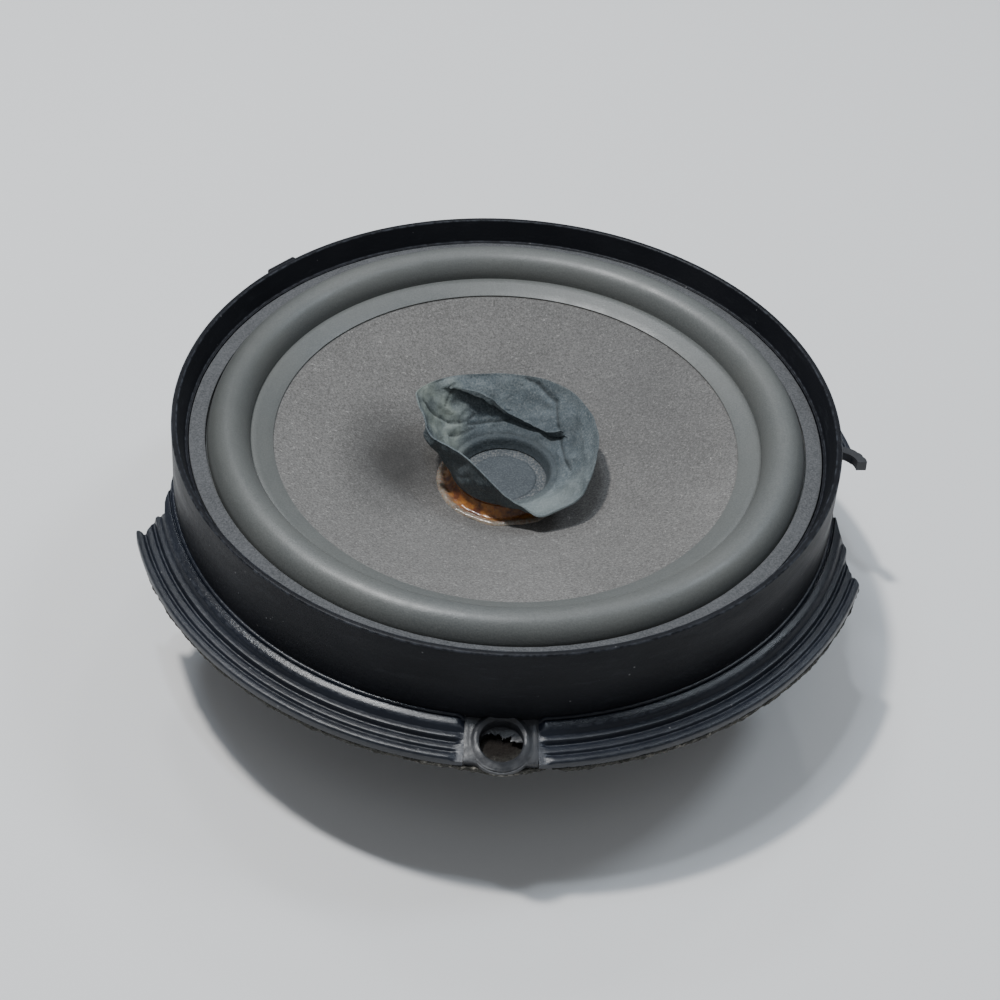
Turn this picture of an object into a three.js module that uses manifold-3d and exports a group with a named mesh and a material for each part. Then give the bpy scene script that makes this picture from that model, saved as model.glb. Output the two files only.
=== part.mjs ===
// A 165 mm class car door loudspeaker with a whizzer cone, in millimetres.
// +Z is the way the cone faces. The origin is the centre of the magnet system's back face.
// Angles are in degrees about +Z from +X, so the whole screw boss, at the front, is at 270.
import * as THREE from "three";
import { mergeVertices } from "three/addons/utils/BufferGeometryUtils.js";
import Module from "manifold-3d";

const wasm = await Module();
wasm.setup();

// Driving dimensions
const GAP = 0.3; // clearance between glued or stacked pieces
const ROUND_STEPS = 48; // facets round a full turn
const SMALL_STEPS = 16; // facets round rivets, holes for them and the like
const INNER_STEPS = 32; // facets round pieces that don't show
const RIM_Z = 62; // top of the rim above the magnet's back face
const RIM_OUTER_R = 82.5;
const RIM_INNER_R = 81.1;
const WALL_FOOT_R = 83.1;
const WALL_FOOT_Z = 42.4; // where the wall meets the flange
const FLANGE_BACK_Z = 37.3;
const FLANGE_R = 93.5;
const SCREW_CIRCLE_R = 88.2;
const SCREW_HOLE_R = 4.85;
const BOSS_R = 6.5;
const BOSS_TOP_Z = 40.7; // at the hole's centre
const BOSS_SLOPE = 0.268; // fall of the boss face per mm outwards
const LEDGE_Z = 53.8; // seat of the surround's outer lip
const LAND_Z = 56.1; // top of the ring that clamps the lip
const ROLL_OUTER_R = 74.2;
const ROLL_INNER_R = 63.7;
const ROLL_CREST_Z = 60.7;
const SURROUND_THICKNESS = 0.5;
const CONE_VISIBLE_R = 58.1; // inner edge of the surround's lap on the cone
const CONE_EDGE_R = 63.0;
const CONE_NECK_R = 14.0;
const CONE_NECK_Z = 36.5;
const CONE_THICKNESS = 0.8;
const FORMER_R = 12.65;
const FORMER_BORE_R = 12.35;
const FORMER_BACK_Z = 14.0;
const FORMER_FRONT_Z = 41.0;
const SPIDER_SEAT_R = 38.5;
const SPIDER_SEAT_Z = 31.2;
const MAGNET_R = 37.5;
const PLATE_R = 36.0;
const POLE_R = 11.8;
const YOKE_PLATE_Z = 5.0;
const TOP_PLATE_BACK_Z = 17.0;
const TOP_PLATE_FRONT_Z = 22.0;
const COIL_GAP_R = 14.0; // bore of the top plate round the voice coil
const BASE_BACK_Z = TOP_PLATE_FRONT_Z + GAP;
const BASE_THICKNESS = 2.6;
const SPOKE_COUNT = 6;
const SPOKE_WIDTH = 8.0;
const RIVET_CIRCLE_R = 25.5;
const RIVET_COUNT = 4;
const FOAM_THICKNESS = 1.5;

const speaker = new THREE.Group();

// ---- Helpers ----

function finish(color, roughness, metalness = 0) {
  return new THREE.MeshStandardMaterial({ color, roughness, metalness });
}

const blackPlastic = finish(0x101214, 0.3);
const rubber = finish(0x6f7776, 0.55);
const greyPaper = finish(0x8a8789, 0.9);
const conePaper = finish(0x6d6866, 0.95);
const whizzerPaper = finish(0x6b7477, 0.8);
const amberGlue = finish(0xb8803c, 0.25);
const polyimide = finish(0xb06a20, 0.35);
const copper = finish(0xb86b3a, 0.35, 1);
const spiderCloth = finish(0xc29a4a, 0.9);
const zincSteel = finish(0x9c9c96, 0.4, 1);
const ferrite = finish(0x3a3b3d, 0.7);
const blackFoam = finish(0x1c1c1c, 1);
const boardPaper = finish(0x6b4a2a, 0.7);
const brass = finish(0xb99a55, 0.35, 1);
const tinsel = finish(0xb4885a, 0.5, 1);

function add(name, geometry, material) {
  const mesh = new THREE.Mesh(geometry, material);
  mesh.name = name;
  speaker.add(mesh);
  return mesh;
}

// Turns a closed outline of [radius, z] pairs about Z.
function turned(outline, steps = ROUND_STEPS) {
  const points = outline.map(([radius, z]) => new THREE.Vector2(radius, z));
  if (THREE.ShapeUtils.area(points) < 0) points.reverse();
  points.push(points[0].clone());
  return new THREE.LatheGeometry(points, steps).rotateX(Math.PI / 2);
}

// Turns a solid profile whose ends lie on the axis.
function turnedSolid(outline, steps = ROUND_STEPS) {
  const points = outline.map(([radius, z]) => new THREE.Vector2(radius, z));
  if (THREE.ShapeUtils.area(points) < 0) points.reverse();
  return new THREE.LatheGeometry(points, steps).rotateX(Math.PI / 2);
}

function tube(innerR, outerR, backZ, frontZ, steps = ROUND_STEPS) {
  const outline = [
    [innerR, backZ],
    [outerR, backZ],
    [outerR, frontZ],
    [innerR, frontZ],
  ];
  return turned(outline, steps);
}

function rod(radius, backZ, frontZ, steps = SMALL_STEPS) {
  const middle = (backZ + frontZ) / 2;
  return new THREE.CylinderGeometry(radius, radius, frontZ - backZ, steps)
    .rotateX(Math.PI / 2)
    .translate(0, 0, middle);
}

function block(lowX, highX, lowY, highY, lowZ, highZ) {
  return new THREE.BoxGeometry(highX - lowX, highY - lowY, highZ - lowZ).translate(
    (lowX + highX) / 2,
    (lowY + highY) / 2,
    (lowZ + highZ) / 2,
  );
}

function polar(radius, degrees) {
  const angle = THREE.MathUtils.degToRad(degrees);
  return new THREE.Vector2(radius * Math.cos(angle), radius * Math.sin(angle));
}

// A flat piece of ring between two ends, each a list of [radius, degrees] from the inside out.
function ringPiece(startEnd, finishEnd, backZ, frontZ, stepDegrees = 5) {
  const arc = ([radius, from], [, to]) => {
    const count = Math.max(1, Math.round(Math.abs(to - from) / stepDegrees));
    const inside = Array.from({ length: count - 1 }, (_, i) => i + 1);
    return inside.map((i) => polar(radius, from + ((to - from) * i) / count));
  };
  const outer = arc(startEnd.at(-1), finishEnd.at(-1));
  const inner = arc(finishEnd[0], startEnd[0]);
  const shape = new THREE.Shape([
    ...startEnd.map(([radius, degrees]) => polar(radius, degrees)),
    ...outer,
    ...finishEnd.toReversed().map(([radius, degrees]) => polar(radius, degrees)),
    ...inner,
  ]);
  const options = { depth: frontZ - backZ, bevelEnabled: false };
  return new THREE.ExtrudeGeometry(shape, options).translate(0, 0, backZ);
}

// Lowers the part of a block that is above midZ by BOSS_SLOPE per mm outwards from the screw circle.
function slopeTop(geometry, midZ) {
  const position = geometry.getAttribute("position");
  for (let i = 0; i < position.count; i++) {
    if (position.getZ(i) < midZ) continue;
    position.setZ(i, position.getZ(i) - BOSS_SLOPE * (position.getX(i) - SCREW_CIRCLE_R));
  }
  return geometry;
}

function turnTo(geometry, degrees) {
  return geometry.rotateZ(THREE.MathUtils.degToRad(degrees));
}

function solid(geometry) {
  const bare = geometry.clone();
  bare.deleteAttribute("normal");
  bare.deleteAttribute("uv");
  const merged = mergeVertices(bare, 1e-4);
  const corners = merged.index.array;
  const triangles = [];
  for (let i = 0; i < corners.length; i += 3) {
    const [a, b, c] = corners.slice(i, i + 3);
    if (a !== b && b !== c && c !== a) triangles.push(a, b, c);
  }
  const mesh = new wasm.Mesh({
    numProp: 3,
    vertProperties: merged.attributes.position.array,
    triVerts: new Uint32Array(triangles),
  });
  return new wasm.Manifold(mesh);
}

function geometryOf(manifold) {
  const mesh = manifold.getMesh();
  const geometry = new THREE.BufferGeometry();
  geometry.setAttribute("position", new THREE.BufferAttribute(mesh.vertProperties, 3));
  geometry.setIndex(new THREE.BufferAttribute(mesh.triVerts, 1));
  geometry.computeVertexNormals();
  return geometry;
}

const joined = (pieces) => pieces.reduce((sum, piece) => sum.add(piece));
const cut = (body, cutters) => cutters.reduce((rest, cutter) => rest.subtract(cutter), body);

// ---- Basket ----

const BOWL_INNER_R = 46; // where the bowl's back starts to rise from the base
const BOWL_OUTER_R = 80;
const bowlRise = (FLANGE_BACK_Z - BASE_BACK_Z - 1) / (BOWL_OUTER_R - BOWL_INNER_R);
const bowlBackZ = (radius) => BASE_BACK_Z + 1 + bowlRise * (radius - BOWL_INNER_R);

function basketShell() {
  const floorZ = BASE_BACK_Z + BASE_THICKNESS;
  const seatInnerR = SPIDER_SEAT_R - 5.5;
  return solid(
    turned([
      [19, BASE_BACK_Z],
      [44, BASE_BACK_Z],
      [BOWL_INNER_R, bowlBackZ(BOWL_INNER_R)],
      [BOWL_OUTER_R, FLANGE_BACK_Z],
      [WALL_FOOT_R, FLANGE_BACK_Z],
      [WALL_FOOT_R, WALL_FOOT_Z],
      [RIM_OUTER_R, RIM_Z],
      [RIM_INNER_R, RIM_Z],
      [79.6, LAND_Z],
      [78.8, LAND_Z - 0.1],
      [78.8, LEDGE_Z],
      [ROLL_OUTER_R - 0.2, LEDGE_Z],
      [ROLL_OUTER_R - 0.2, LEDGE_Z - 2.2],
      [79.9, LEDGE_Z - 2.2],
      [79.5, bowlBackZ(79.5) + 2.8],
      [43, bowlBackZ(43) + 2.8],
      [SPIDER_SEAT_R + 0.4, floorZ],
      [SPIDER_SEAT_R, SPIDER_SEAT_Z],
      [seatInnerR, SPIDER_SEAT_Z],
      [seatInnerR - 0.4, floorZ],
      [19, floorZ],
    ]),
  );
}

// Four ridges that step down outwards, with grooves between them.
function flangeRing() {
  const ridgeTops = [
    [82.0, 42.4],
    [83.4, 42.4],
    [84.1, 42.0],
    [85.6, 41.8],
    [85.9, 40.4],
    [86.8, 40.2],
    [87.0, 40.9],
    [87.8, 40.7],
    [88.0, 39.0],
    [88.9, 39.0],
    [89.2, 40.0],
    [90.2, 39.8],
    [90.4, 39.2],
    [91.1, 39.2],
    [91.3, 39.7],
    [93.2, 39.3],
    [FLANGE_R, 39.0],
  ];
  return solid(turned([[82.0, FLANGE_BACK_Z], ...ridgeTops, [FLANGE_R, FLANGE_BACK_Z]]));
}

// The broken ends of the flange, as [radius, degrees] from the wall outwards.
const FRONT_LEFT_BREAK = [
  [81, 187],
  [82.9, 187.2],
  [84.1, 191.7],
  [85.3, 192.5],
  [85.8, 195.2],
  [88.0, 193.9],
  [90.0, 196.0],
  [91.3, 196.3],
  [93.3, 195.0],
  [98, 195],
];
const FRONT_RIGHT_BREAK = [
  [81, 347.5],
  [82.9, 347],
  [85.5, 346],
  [87.0, 345.4],
  [88.4, 344.4],
  [89.5, 341],
  [91.0, 340.7],
  [93.3, 339.3],
  [98, 339.3],
];
const REAR_RIGHT_BREAK = [
  [81, 4],
  [84, 5],
  [88, 6.6],
  [91, 8.2],
  [93.5, 8.6],
  [98, 8.8],
];
const REAR_LEFT_BREAK = [
  [81, 152],
  [85, 150.5],
  [88, 151.5],
  [91, 149.5],
  [98, 149],
];

// A ring round each screw hole, a flat pad beside it, and the lip's bulge outside it.
const PAD_HALF_WIDTH = 8.2;
const PAD_DROP = 0.5; // pad face below the boss face

function bossSolids(degrees) {
  const midZ = BOSS_TOP_Z - 2;
  const place = (geometry) => solid(turnTo(geometry, degrees));
  const outwards = (geometry) => geometry.translate(SCREW_CIRCLE_R, 0, 0);
  const padTopZ = BOSS_TOP_Z - PAD_DROP;
  const w = PAD_HALF_WIDTH;
  return {
    clear: place(slopeTop(block(83.2, 97, -w, w, padTopZ, 46), midZ)),
    pad: place(slopeTop(block(82, FLANGE_R - 0.2, -w, w, FLANGE_BACK_Z, padTopZ), midZ)),
    collar: place(slopeTop(outwards(rod(BOSS_R, FLANGE_BACK_Z, BOSS_TOP_Z, 32)), midZ)),
    bulge: place(outwards(rod(BOSS_R + 0.8, FLANGE_BACK_Z, FLANGE_BACK_Z + 1.4, 32))),
    hole: place(outwards(rod(SCREW_HOLE_R, 30, 50, 32))),
  };
}

function flangePiece(startBreak, finishBreak, bosses, holes) {
  const reach = solid(ringPiece(startBreak, finishBreak, 30, 50));
  const cleared = cut(
    flangeRing(),
    bosses.map((boss) => boss.clear),
  );
  const built = joined([cleared, ...bosses.flatMap((b) => [b.pad, b.collar, b.bulge])]);
  return cut(built.intersect(reach), holes);
}

function windowCutter(index) {
  const pitch = 360 / SPOKE_COUNT;
  const spokeAngle = (radius) => {
    return THREE.MathUtils.radToDeg(Math.asin(SPOKE_WIDTH / 2 / radius));
  };
  const edge = (side) => {
    const middle = index * pitch + (side > 0 ? 0 : pitch);
    return [43.5, 58, 75.5].map((radius) => [radius, middle + side * spokeAngle(radius)]);
  };
  return solid(ringPiece(edge(1), edge(-1), BASE_BACK_Z - 5, 48));
}

// A stiffening rib under each spoke, from the base to the wall.
function spokeRib(index) {
  const shape = new THREE.Shape([
    new THREE.Vector2(42, BASE_BACK_Z + 1),
    new THREE.Vector2(47, BASE_BACK_Z - 1.3),
    new THREE.Vector2(BOWL_OUTER_R - 2, FLANGE_BACK_Z - 1.3),
    new THREE.Vector2(BOWL_OUTER_R, FLANGE_BACK_Z + 1),
  ]);
  const rib = new THREE.ExtrudeGeometry(shape, { depth: 2.4, bevelEnabled: false });
  rib.translate(0, 0, -1.2).rotateX(Math.PI / 2);
  return solid(turnTo(rib, (index * 360) / SPOKE_COUNT));
}

const TERMINAL_LUG = { halfWidth: 9, outerY: 55 };

function basket() {
  const frontBoss = bossSolids(270);
  const rightBoss = bossSolids(6.2);
  const rearBoss = bossSolids(90);
  const front = flangePiece(FRONT_LEFT_BREAK, FRONT_RIGHT_BREAK, [frontBoss], [frontBoss.hole]);
  const rearBosses = [rightBoss, rearBoss];
  const rear = flangePiece(
    REAR_RIGHT_BREAK,
    REAR_LEFT_BREAK,
    rearBosses,
    rearBosses.map((boss) => boss.hole),
  );
  const spokes = Array.from({ length: SPOKE_COUNT }, (_, i) => i);
  const shell = cut(basketShell(), spokes.map(windowCutter));
  const { halfWidth, outerY } = TERMINAL_LUG;
  const lugTopZ = BASE_BACK_Z + BASE_THICKNESS;
  const lug = solid(block(-halfWidth, halfWidth, 40, outerY, BASE_BACK_Z, lugTopZ));
  const rimTab = solid(turnTo(block(81.9, 84.0, -5.5, 5.5, RIM_Z - 9, RIM_Z - 0.4), 137.5));
  const rivetHoles = rivetAngles.map((degrees) => rivetHole(degrees));
  const terminalHoles = [-6, 6].map((x) => solid(rod(1.5, 20, 30).translate(x, 48, 0)));
  const body = joined([shell, front, rear, lug, rimTab, ...spokes.map(spokeRib)]);
  return cut(body, [...rivetHoles, ...terminalHoles]);
}

// ---- Rivets between the basket and the top plate ----

const RIVET_SHANK_R = 1.7;
const rivetAngles = Array.from({ length: RIVET_COUNT }, (_, i) => 45 + (i * 360) / RIVET_COUNT);

function rivetHole(degrees) {
  const hole = rod(RIVET_SHANK_R + GAP, TOP_PLATE_BACK_Z - 1, 30);
  return solid(turnTo(hole.translate(RIVET_CIRCLE_R, 0, 0), degrees));
}

function rivet(shankR, headR, backZ, seatZ, headHeight) {
  return turnedSolid(
    [
      [0, backZ],
      [shankR, backZ],
      [shankR, seatZ],
      [headR, seatZ],
      [headR * 0.9, seatZ + headHeight * 0.6],
      [headR * 0.55, seatZ + headHeight],
      [0, seatZ + headHeight],
    ],
    SMALL_STEPS,
  );
}

// ---- Surround and the ring that clamps it ----

const rollMidR = (ROLL_OUTER_R + ROLL_INNER_R) / 2;
const rollFootZ = LEDGE_Z + GAP + SURROUND_THICKNESS;
const LAP_FRONT_Z = 53.2; // top of the lap at its inner edge

function rollArc(inset, steps) {
  const halfWidth = (ROLL_OUTER_R - ROLL_INNER_R) / 2 - inset;
  const height = ROLL_CREST_Z - rollFootZ - inset;
  return Array.from({ length: steps + 1 }, (_, i) => {
    const angle = (Math.PI * i) / steps;
    return [rollMidR + halfWidth * Math.cos(angle), rollFootZ + height * Math.sin(angle)];
  });
}

function surround() {
  const lipR = 78.3;
  const lapFootZ = rollFootZ + 0.3;
  const t = SURROUND_THICKNESS;
  return turned([
    [lipR, rollFootZ],
    ...rollArc(0, 8),
    [ROLL_INNER_R - 0.2, lapFootZ],
    [CONE_VISIBLE_R, LAP_FRONT_Z],
    [CONE_VISIBLE_R, LAP_FRONT_Z - 0.35],
    [ROLL_INNER_R, lapFootZ - t],
    ...rollArc(t, 8).reverse(),
    [ROLL_OUTER_R - t, rollFootZ - t],
    [lipR, rollFootZ - t],
  ]);
}

// ---- Moving assembly ----

const coneEdgeZ = 54.15;
const coneRise = (CONE_VISIBLE_R - CONE_NECK_R) ** -1 * (52.6 - CONE_NECK_Z);
const coneFrontZ = (radius) => {
  if (radius > CONE_VISIBLE_R) {
    const share = (radius - CONE_VISIBLE_R) / (CONE_EDGE_R - CONE_VISIBLE_R);
    return THREE.MathUtils.lerp(52.6, coneEdgeZ, share);
  }
  const share = (radius - CONE_NECK_R) / (CONE_VISIBLE_R - CONE_NECK_R);
  const straight = CONE_NECK_Z + coneRise * (radius - CONE_NECK_R);
  return straight - 0.6 * Math.sin(Math.PI * share);
};

function cone() {
  const radii = [13.4, 22, 31, 40, 49, CONE_VISIBLE_R, CONE_EDGE_R];
  const front = radii.map((radius) => [radius, coneFrontZ(radius)]);
  const back = radii.map((radius) => [radius, coneFrontZ(radius) - CONE_THICKNESS]);
  return turned([...front, ...back.reverse()]);
}

function glueRing() {
  return turned(
    [
      [FORMER_R + GAP, coneFrontZ(13.4) + GAP],
      [14.2, coneFrontZ(14.2) + GAP],
      [17.0, coneFrontZ(17.0) + GAP],
      [16.6, coneFrontZ(17.0) + 0.9],
      [15.0, coneFrontZ(15.0) + 1.3],
      [13.6, coneFrontZ(13.6) + 2.2],
      [FORMER_R + GAP, coneFrontZ(13.4) + 3.4],
    ],
    INNER_STEPS,
  );
}

function dustCap() {
  const outline = [
    [0, 38.6],
    [9.5, 38.6],
    [10.0, 38.0],
    [12.0, 38.0],
    [12.0, 36.8],
    [11.4, 36.8],
    [11.4, 37.4],
    [9.7, 37.4],
    [9.2, 38.0],
    [0, 38.0],
  ];
  return turnedSolid(outline, INNER_STEPS);
}

// The whizzer cone's crushed rim, as [x, y, z] round from the right, through the back.
const WHIZZER_RIM = [
  [23.1, 0.0, 53.0],
  [22.4, 7.0, 53.0],
  [20.9, 12.2, 53.2],
  [16.2, 18.6, 53.5],
  [7.0, 23.2, 53.6],
  [-3.6, 23.6, 53.8],
  [-14.0, 19.7, 54.6],
  [-20.9, 12.0, 57.0],
  [-23.4, 4.2, 58.9],
  [-20.8, -1.4, 58.6],
  [-17.4, -5.2, 57.6],
  [-13.2, -8.0, 55.8],
  [-9.2, -11.2, 54.2],
  [-4.6, -13.9, 51.0],
  [0.4, -16.2, 47.4],
  [5.0, -18.6, 45.4],
  [9.4, -19.8, 45.0],
  [13.0, -18.6, 46.0],
  [17.6, -15.6, 47.4],
  [20.9, -9.4, 51.0],
];
const WHIZZER_NECK_R = 13.3;
const WHIZZER_NECK_Z = 41.4;
const WHIZZER_THICKNESS = 0.5;

// A closed sheet between the neck circle and the rim, with its back offset along the normals.
function whizzerCone() {
  const rim = new THREE.CatmullRomCurve3(
    WHIZZER_RIM.map((point) => new THREE.Vector3(...point)),
    true,
  );
  const around = 48;
  const across = 5;
  const front = [];
  for (let i = 0; i < around; i++) {
    const outer = rim.getPoint(i / around);
    const angle = Math.atan2(outer.y, outer.x);
    const inner = new THREE.Vector3(
      WHIZZER_NECK_R * Math.cos(angle),
      WHIZZER_NECK_R * Math.sin(angle),
      WHIZZER_NECK_Z,
    );
    for (let j = 0; j <= across; j++) {
      const point = inner.clone().lerp(outer, j / across);
      point.z -= 1.2 * Math.sin((Math.PI * j) / across);
      front.push(point);
    }
  }
  const at = (i, j) => (((i + around) % around) * (across + 1)) + j;
  const normalAt = (i, j) => {
    const along = front[at(i + 1, j)].clone().sub(front[at(i - 1, j)]);
    const low = front[at(i, Math.max(j - 1, 0))];
    const out = front[at(i, Math.min(j + 1, across))].clone().sub(low);
    return out.cross(along).normalize();
  };
  const positions = front.flatMap((point) => point.toArray());
  for (let i = 0; i < around; i++) {
    for (let j = 0; j <= across; j++) {
      const back = normalAt(i, j).multiplyScalar(-WHIZZER_THICKNESS).add(front[at(i, j)]);
      positions.push(...back.toArray());
    }
  }
  const backSide = front.length;
  const faces = [];
  const quad = (a, b, c, d) => faces.push(a, b, c, a, c, d);
  for (let i = 0; i < around; i++) {
    for (let j = 0; j < across; j++) {
      const corners = [at(i, j), at(i, j + 1), at(i + 1, j + 1), at(i + 1, j)];
      quad(...corners);
      quad(...corners.map((corner) => corner + backSide).reverse());
    }
    const neck = [at(i, 0), at(i + 1, 0)];
    const lip = [at(i + 1, across), at(i, across)];
    quad(neck[0], neck[1], neck[1] + backSide, neck[0] + backSide);
    quad(lip[0], lip[1], lip[1] + backSide, lip[0] + backSide);
  }
  const geometry = new THREE.BufferGeometry();
  geometry.setAttribute("position", new THREE.Float32BufferAttribute(positions, 3));
  geometry.setIndex(faces);
  geometry.computeVertexNormals();
  return geometry;
}

// The corrugated ring that centres the voice coil.
function spider() {
  const innerR = FORMER_R + GAP;
  const rollStartR = innerR + 1.5;
  const rollEndR = SPIDER_SEAT_R - 5.5;
  const seatZ = SPIDER_SEAT_Z + GAP;
  const waves = 3;
  const steps = waves * 4;
  const front = Array.from({ length: steps + 1 }, (_, i) => {
    const share = i / steps;
    const radius = THREE.MathUtils.lerp(rollStartR, rollEndR, share);
    return [radius, seatZ + 0.4 + 0.9 * Math.sin(2 * Math.PI * waves * share)];
  });
  const outline = [[innerR, seatZ + 0.4], ...front, [SPIDER_SEAT_R - 0.3, seatZ + 0.4]];
  const back = outline.map(([radius, z]) => [radius, z - 0.4]);
  return turned([...outline, ...back.reverse()], INNER_STEPS);
}

// ---- Magnet system ----

function yoke() {
  return turnedSolid([
    [0, 0],
    [PLATE_R - 0.8, 0],
    [PLATE_R, 0.8],
    [PLATE_R, YOKE_PLATE_Z],
    [POLE_R, YOKE_PLATE_Z],
    [POLE_R, TOP_PLATE_FRONT_Z - 0.6],
    [POLE_R - 0.6, TOP_PLATE_FRONT_Z],
    [0, TOP_PLATE_FRONT_Z],
  ]);
}

function magnet() {
  const backZ = YOKE_PLATE_Z + GAP;
  const frontZ = TOP_PLATE_BACK_Z - GAP;
  const bevel = 0.8;
  return turned([
    [19, backZ],
    [MAGNET_R - bevel, backZ],
    [MAGNET_R, backZ + bevel],
    [MAGNET_R, frontZ - bevel],
    [MAGNET_R - bevel, frontZ],
    [19, frontZ],
  ]);
}

function topPlate() {
  const plate = solid(tube(COIL_GAP_R, PLATE_R, TOP_PLATE_BACK_Z, TOP_PLATE_FRONT_Z));
  return cut(plate, rivetAngles.map(rivetHole));
}

// ---- Terminals and leads ----

const boardBackZ = BASE_BACK_Z + BASE_THICKNESS + GAP;
const boardFrontZ = boardBackZ + 1.5;
const tabBackZ = boardFrontZ + GAP;
const TERMINAL_X = 6;

function terminalBoard() {
  const board = solid(block(-11, 11, 43.5, 58, boardBackZ, boardFrontZ));
  const holes = [-1, 1].map((side) => solid(rod(1.5, 20, 30).translate(side * TERMINAL_X, 48, 0)));
  return cut(board, holes);
}

function terminalTab(side, width) {
  const x = side * TERMINAL_X;
  const half = width / 2;
  const blade = new THREE.Shape([
    new THREE.Vector2(x - 2.5, 45.4),
    new THREE.Vector2(x + 2.5, 45.4),
    new THREE.Vector2(x + 2.5, 53),
    new THREE.Vector2(x + half, 54),
    new THREE.Vector2(x + half, 66),
    new THREE.Vector2(x + half - 1, 67.2),
    new THREE.Vector2(x - half + 1, 67.2),
    new THREE.Vector2(x - half, 66),
    new THREE.Vector2(x - half, 54),
    new THREE.Vector2(x - 2.5, 53),
  ]);
  const plate = new THREE.ExtrudeGeometry(blade, { depth: 0.8, bevelEnabled: false });
  const hole = solid(rod(1.5, 20, 30).translate(x, 48, 0));
  const eye = solid(rod(0.9, 20, 30).translate(x, 63.5, 0));
  return geometryOf(cut(solid(plate.translate(0, 0, tabBackZ)), [hole, eye]));
}

function terminalRivet() {
  return rivet(1.2, 2.4, BASE_BACK_Z + 0.2, tabBackZ + 0.8 + GAP, 0.9);
}

// Each lead rises from its terminal to an eyelet under the cone.
const EYELET_Y = 30;
const eyeletFrontZ = coneFrontZ(EYELET_Y + 0.6) - CONE_THICKNESS - 1.1;

function tinselLead(side) {
  const x = side * TERMINAL_X;
  const route = [
    [x, 44.6, tabBackZ + 0.8],
    [x, 43.2, tabBackZ + 1.6],
    [x, 41.2, 31.4],
    [x * 0.96, 39.0, 34.6],
    [x * 0.9, 36.0, 36.4],
    [x * 0.86, 33.2, 37.2],
    [x * 0.84, 31.2, 38.6],
    [x * 0.83, EYELET_Y, eyeletFrontZ - 1.1],
  ];
  const path = new THREE.CatmullRomCurve3(route.map((point) => new THREE.Vector3(...point)));
  const section = new THREE.Shape().absarc(0, 0, 0.55, 0, 2 * Math.PI, false);
  const options = { steps: 14, curveSegments: 4, extrudePath: path };
  return new THREE.ExtrudeGeometry(section, options);
}

function coneEyelet(side) {
  const x = side * TERMINAL_X * 0.83;
  return rod(1.4, eyeletFrontZ - 0.7, eyeletFrontZ, 20).translate(x, EYELET_Y, 0);
}

// ---- Foam left under the flange ----

function foam(from, to, innerR, outerR) {
  const frontZ = FLANGE_BACK_Z - GAP;
  const start = [
    [innerR, from],
    [(innerR + outerR) / 2, from + 1.5],
    [outerR, from + 0.4],
  ];
  const finishEnd = [
    [innerR, to],
    [(innerR + outerR) / 2, to - 0.8],
    [outerR, to - 2],
  ];
  return ringPiece(start, finishEnd, frontZ - FOAM_THICKNESS, frontZ);
}

// ---- Assembly ----

add("basket", geometryOf(basket()), blackPlastic);
add("gasket_ring", tube(ROLL_OUTER_R + 0.4, 78.5, rollFootZ + GAP, LAND_Z), greyPaper);
add("surround", surround(), rubber);
add("cone", cone(), conePaper);
add("glue_ring", glueRing(), amberGlue);
add("dust_cap", dustCap(), whizzerPaper);
add("whizzer_cone", whizzerCone(), whizzerPaper);
const former = tube(FORMER_BORE_R, FORMER_R, FORMER_BACK_Z, FORMER_FRONT_Z, INNER_STEPS);
add("voice_coil_former", former, polyimide);
add("voice_coil_winding", tube(FORMER_R + GAP, 13.4, 14.5, 24.5, INNER_STEPS), copper);
add("spider", spider(), spiderCloth);
add("top_plate", geometryOf(topPlate()), zincSteel);
add("magnet", magnet(), ferrite);
add("yoke", yoke(), zincSteel);
rivetAngles.forEach((degrees, i) => {
  const seatZ = BASE_BACK_Z + BASE_THICKNESS + GAP;
  const shape = rivet(RIVET_SHANK_R, 3.0, TOP_PLATE_BACK_Z + GAP, seatZ, 1.4);
  const place = polar(RIVET_CIRCLE_R, degrees);
  add(`basket_rivet_${i + 1}`, shape, zincSteel).position.set(place.x, place.y, 0);
});
add("terminal_board", geometryOf(terminalBoard()), boardPaper);
add("terminal_tab_wide", terminalTab(-1, 6.3), brass);
add("terminal_tab_narrow", terminalTab(1, 4.8), brass);
for (const [side, word] of [
  [-1, "left"],
  [1, "right"],
]) {
  add(`terminal_rivet_${word}`, terminalRivet(), brass).position.set(side * TERMINAL_X, 48, 0);
  add(`tinsel_lead_${word}`, tinselLead(side), tinsel);
  add(`cone_eyelet_${word}`, coneEyelet(side), brass);
}
add("foam_gasket_front_left", foam(203, 260, 85.5, 93.2), blackFoam);
add("foam_gasket_front_right", foam(279, 338, 85, 93.3), blackFoam);
add("foam_gasket_rear", foam(18, 81, 85, 93.2), blackFoam);

export default speaker;
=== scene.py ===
"""A car door speaker with a crushed whizzer cone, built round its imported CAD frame.

Shapes are worked out in millimetres and scaled to metres by MM when a mesh is made.
Angles are in degrees about +Z from +X, so the whole screw boss, at the front, is at 270.
"""
import math

import bmesh
import bpy
from mathutils import Matrix, Vector, noise


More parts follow.
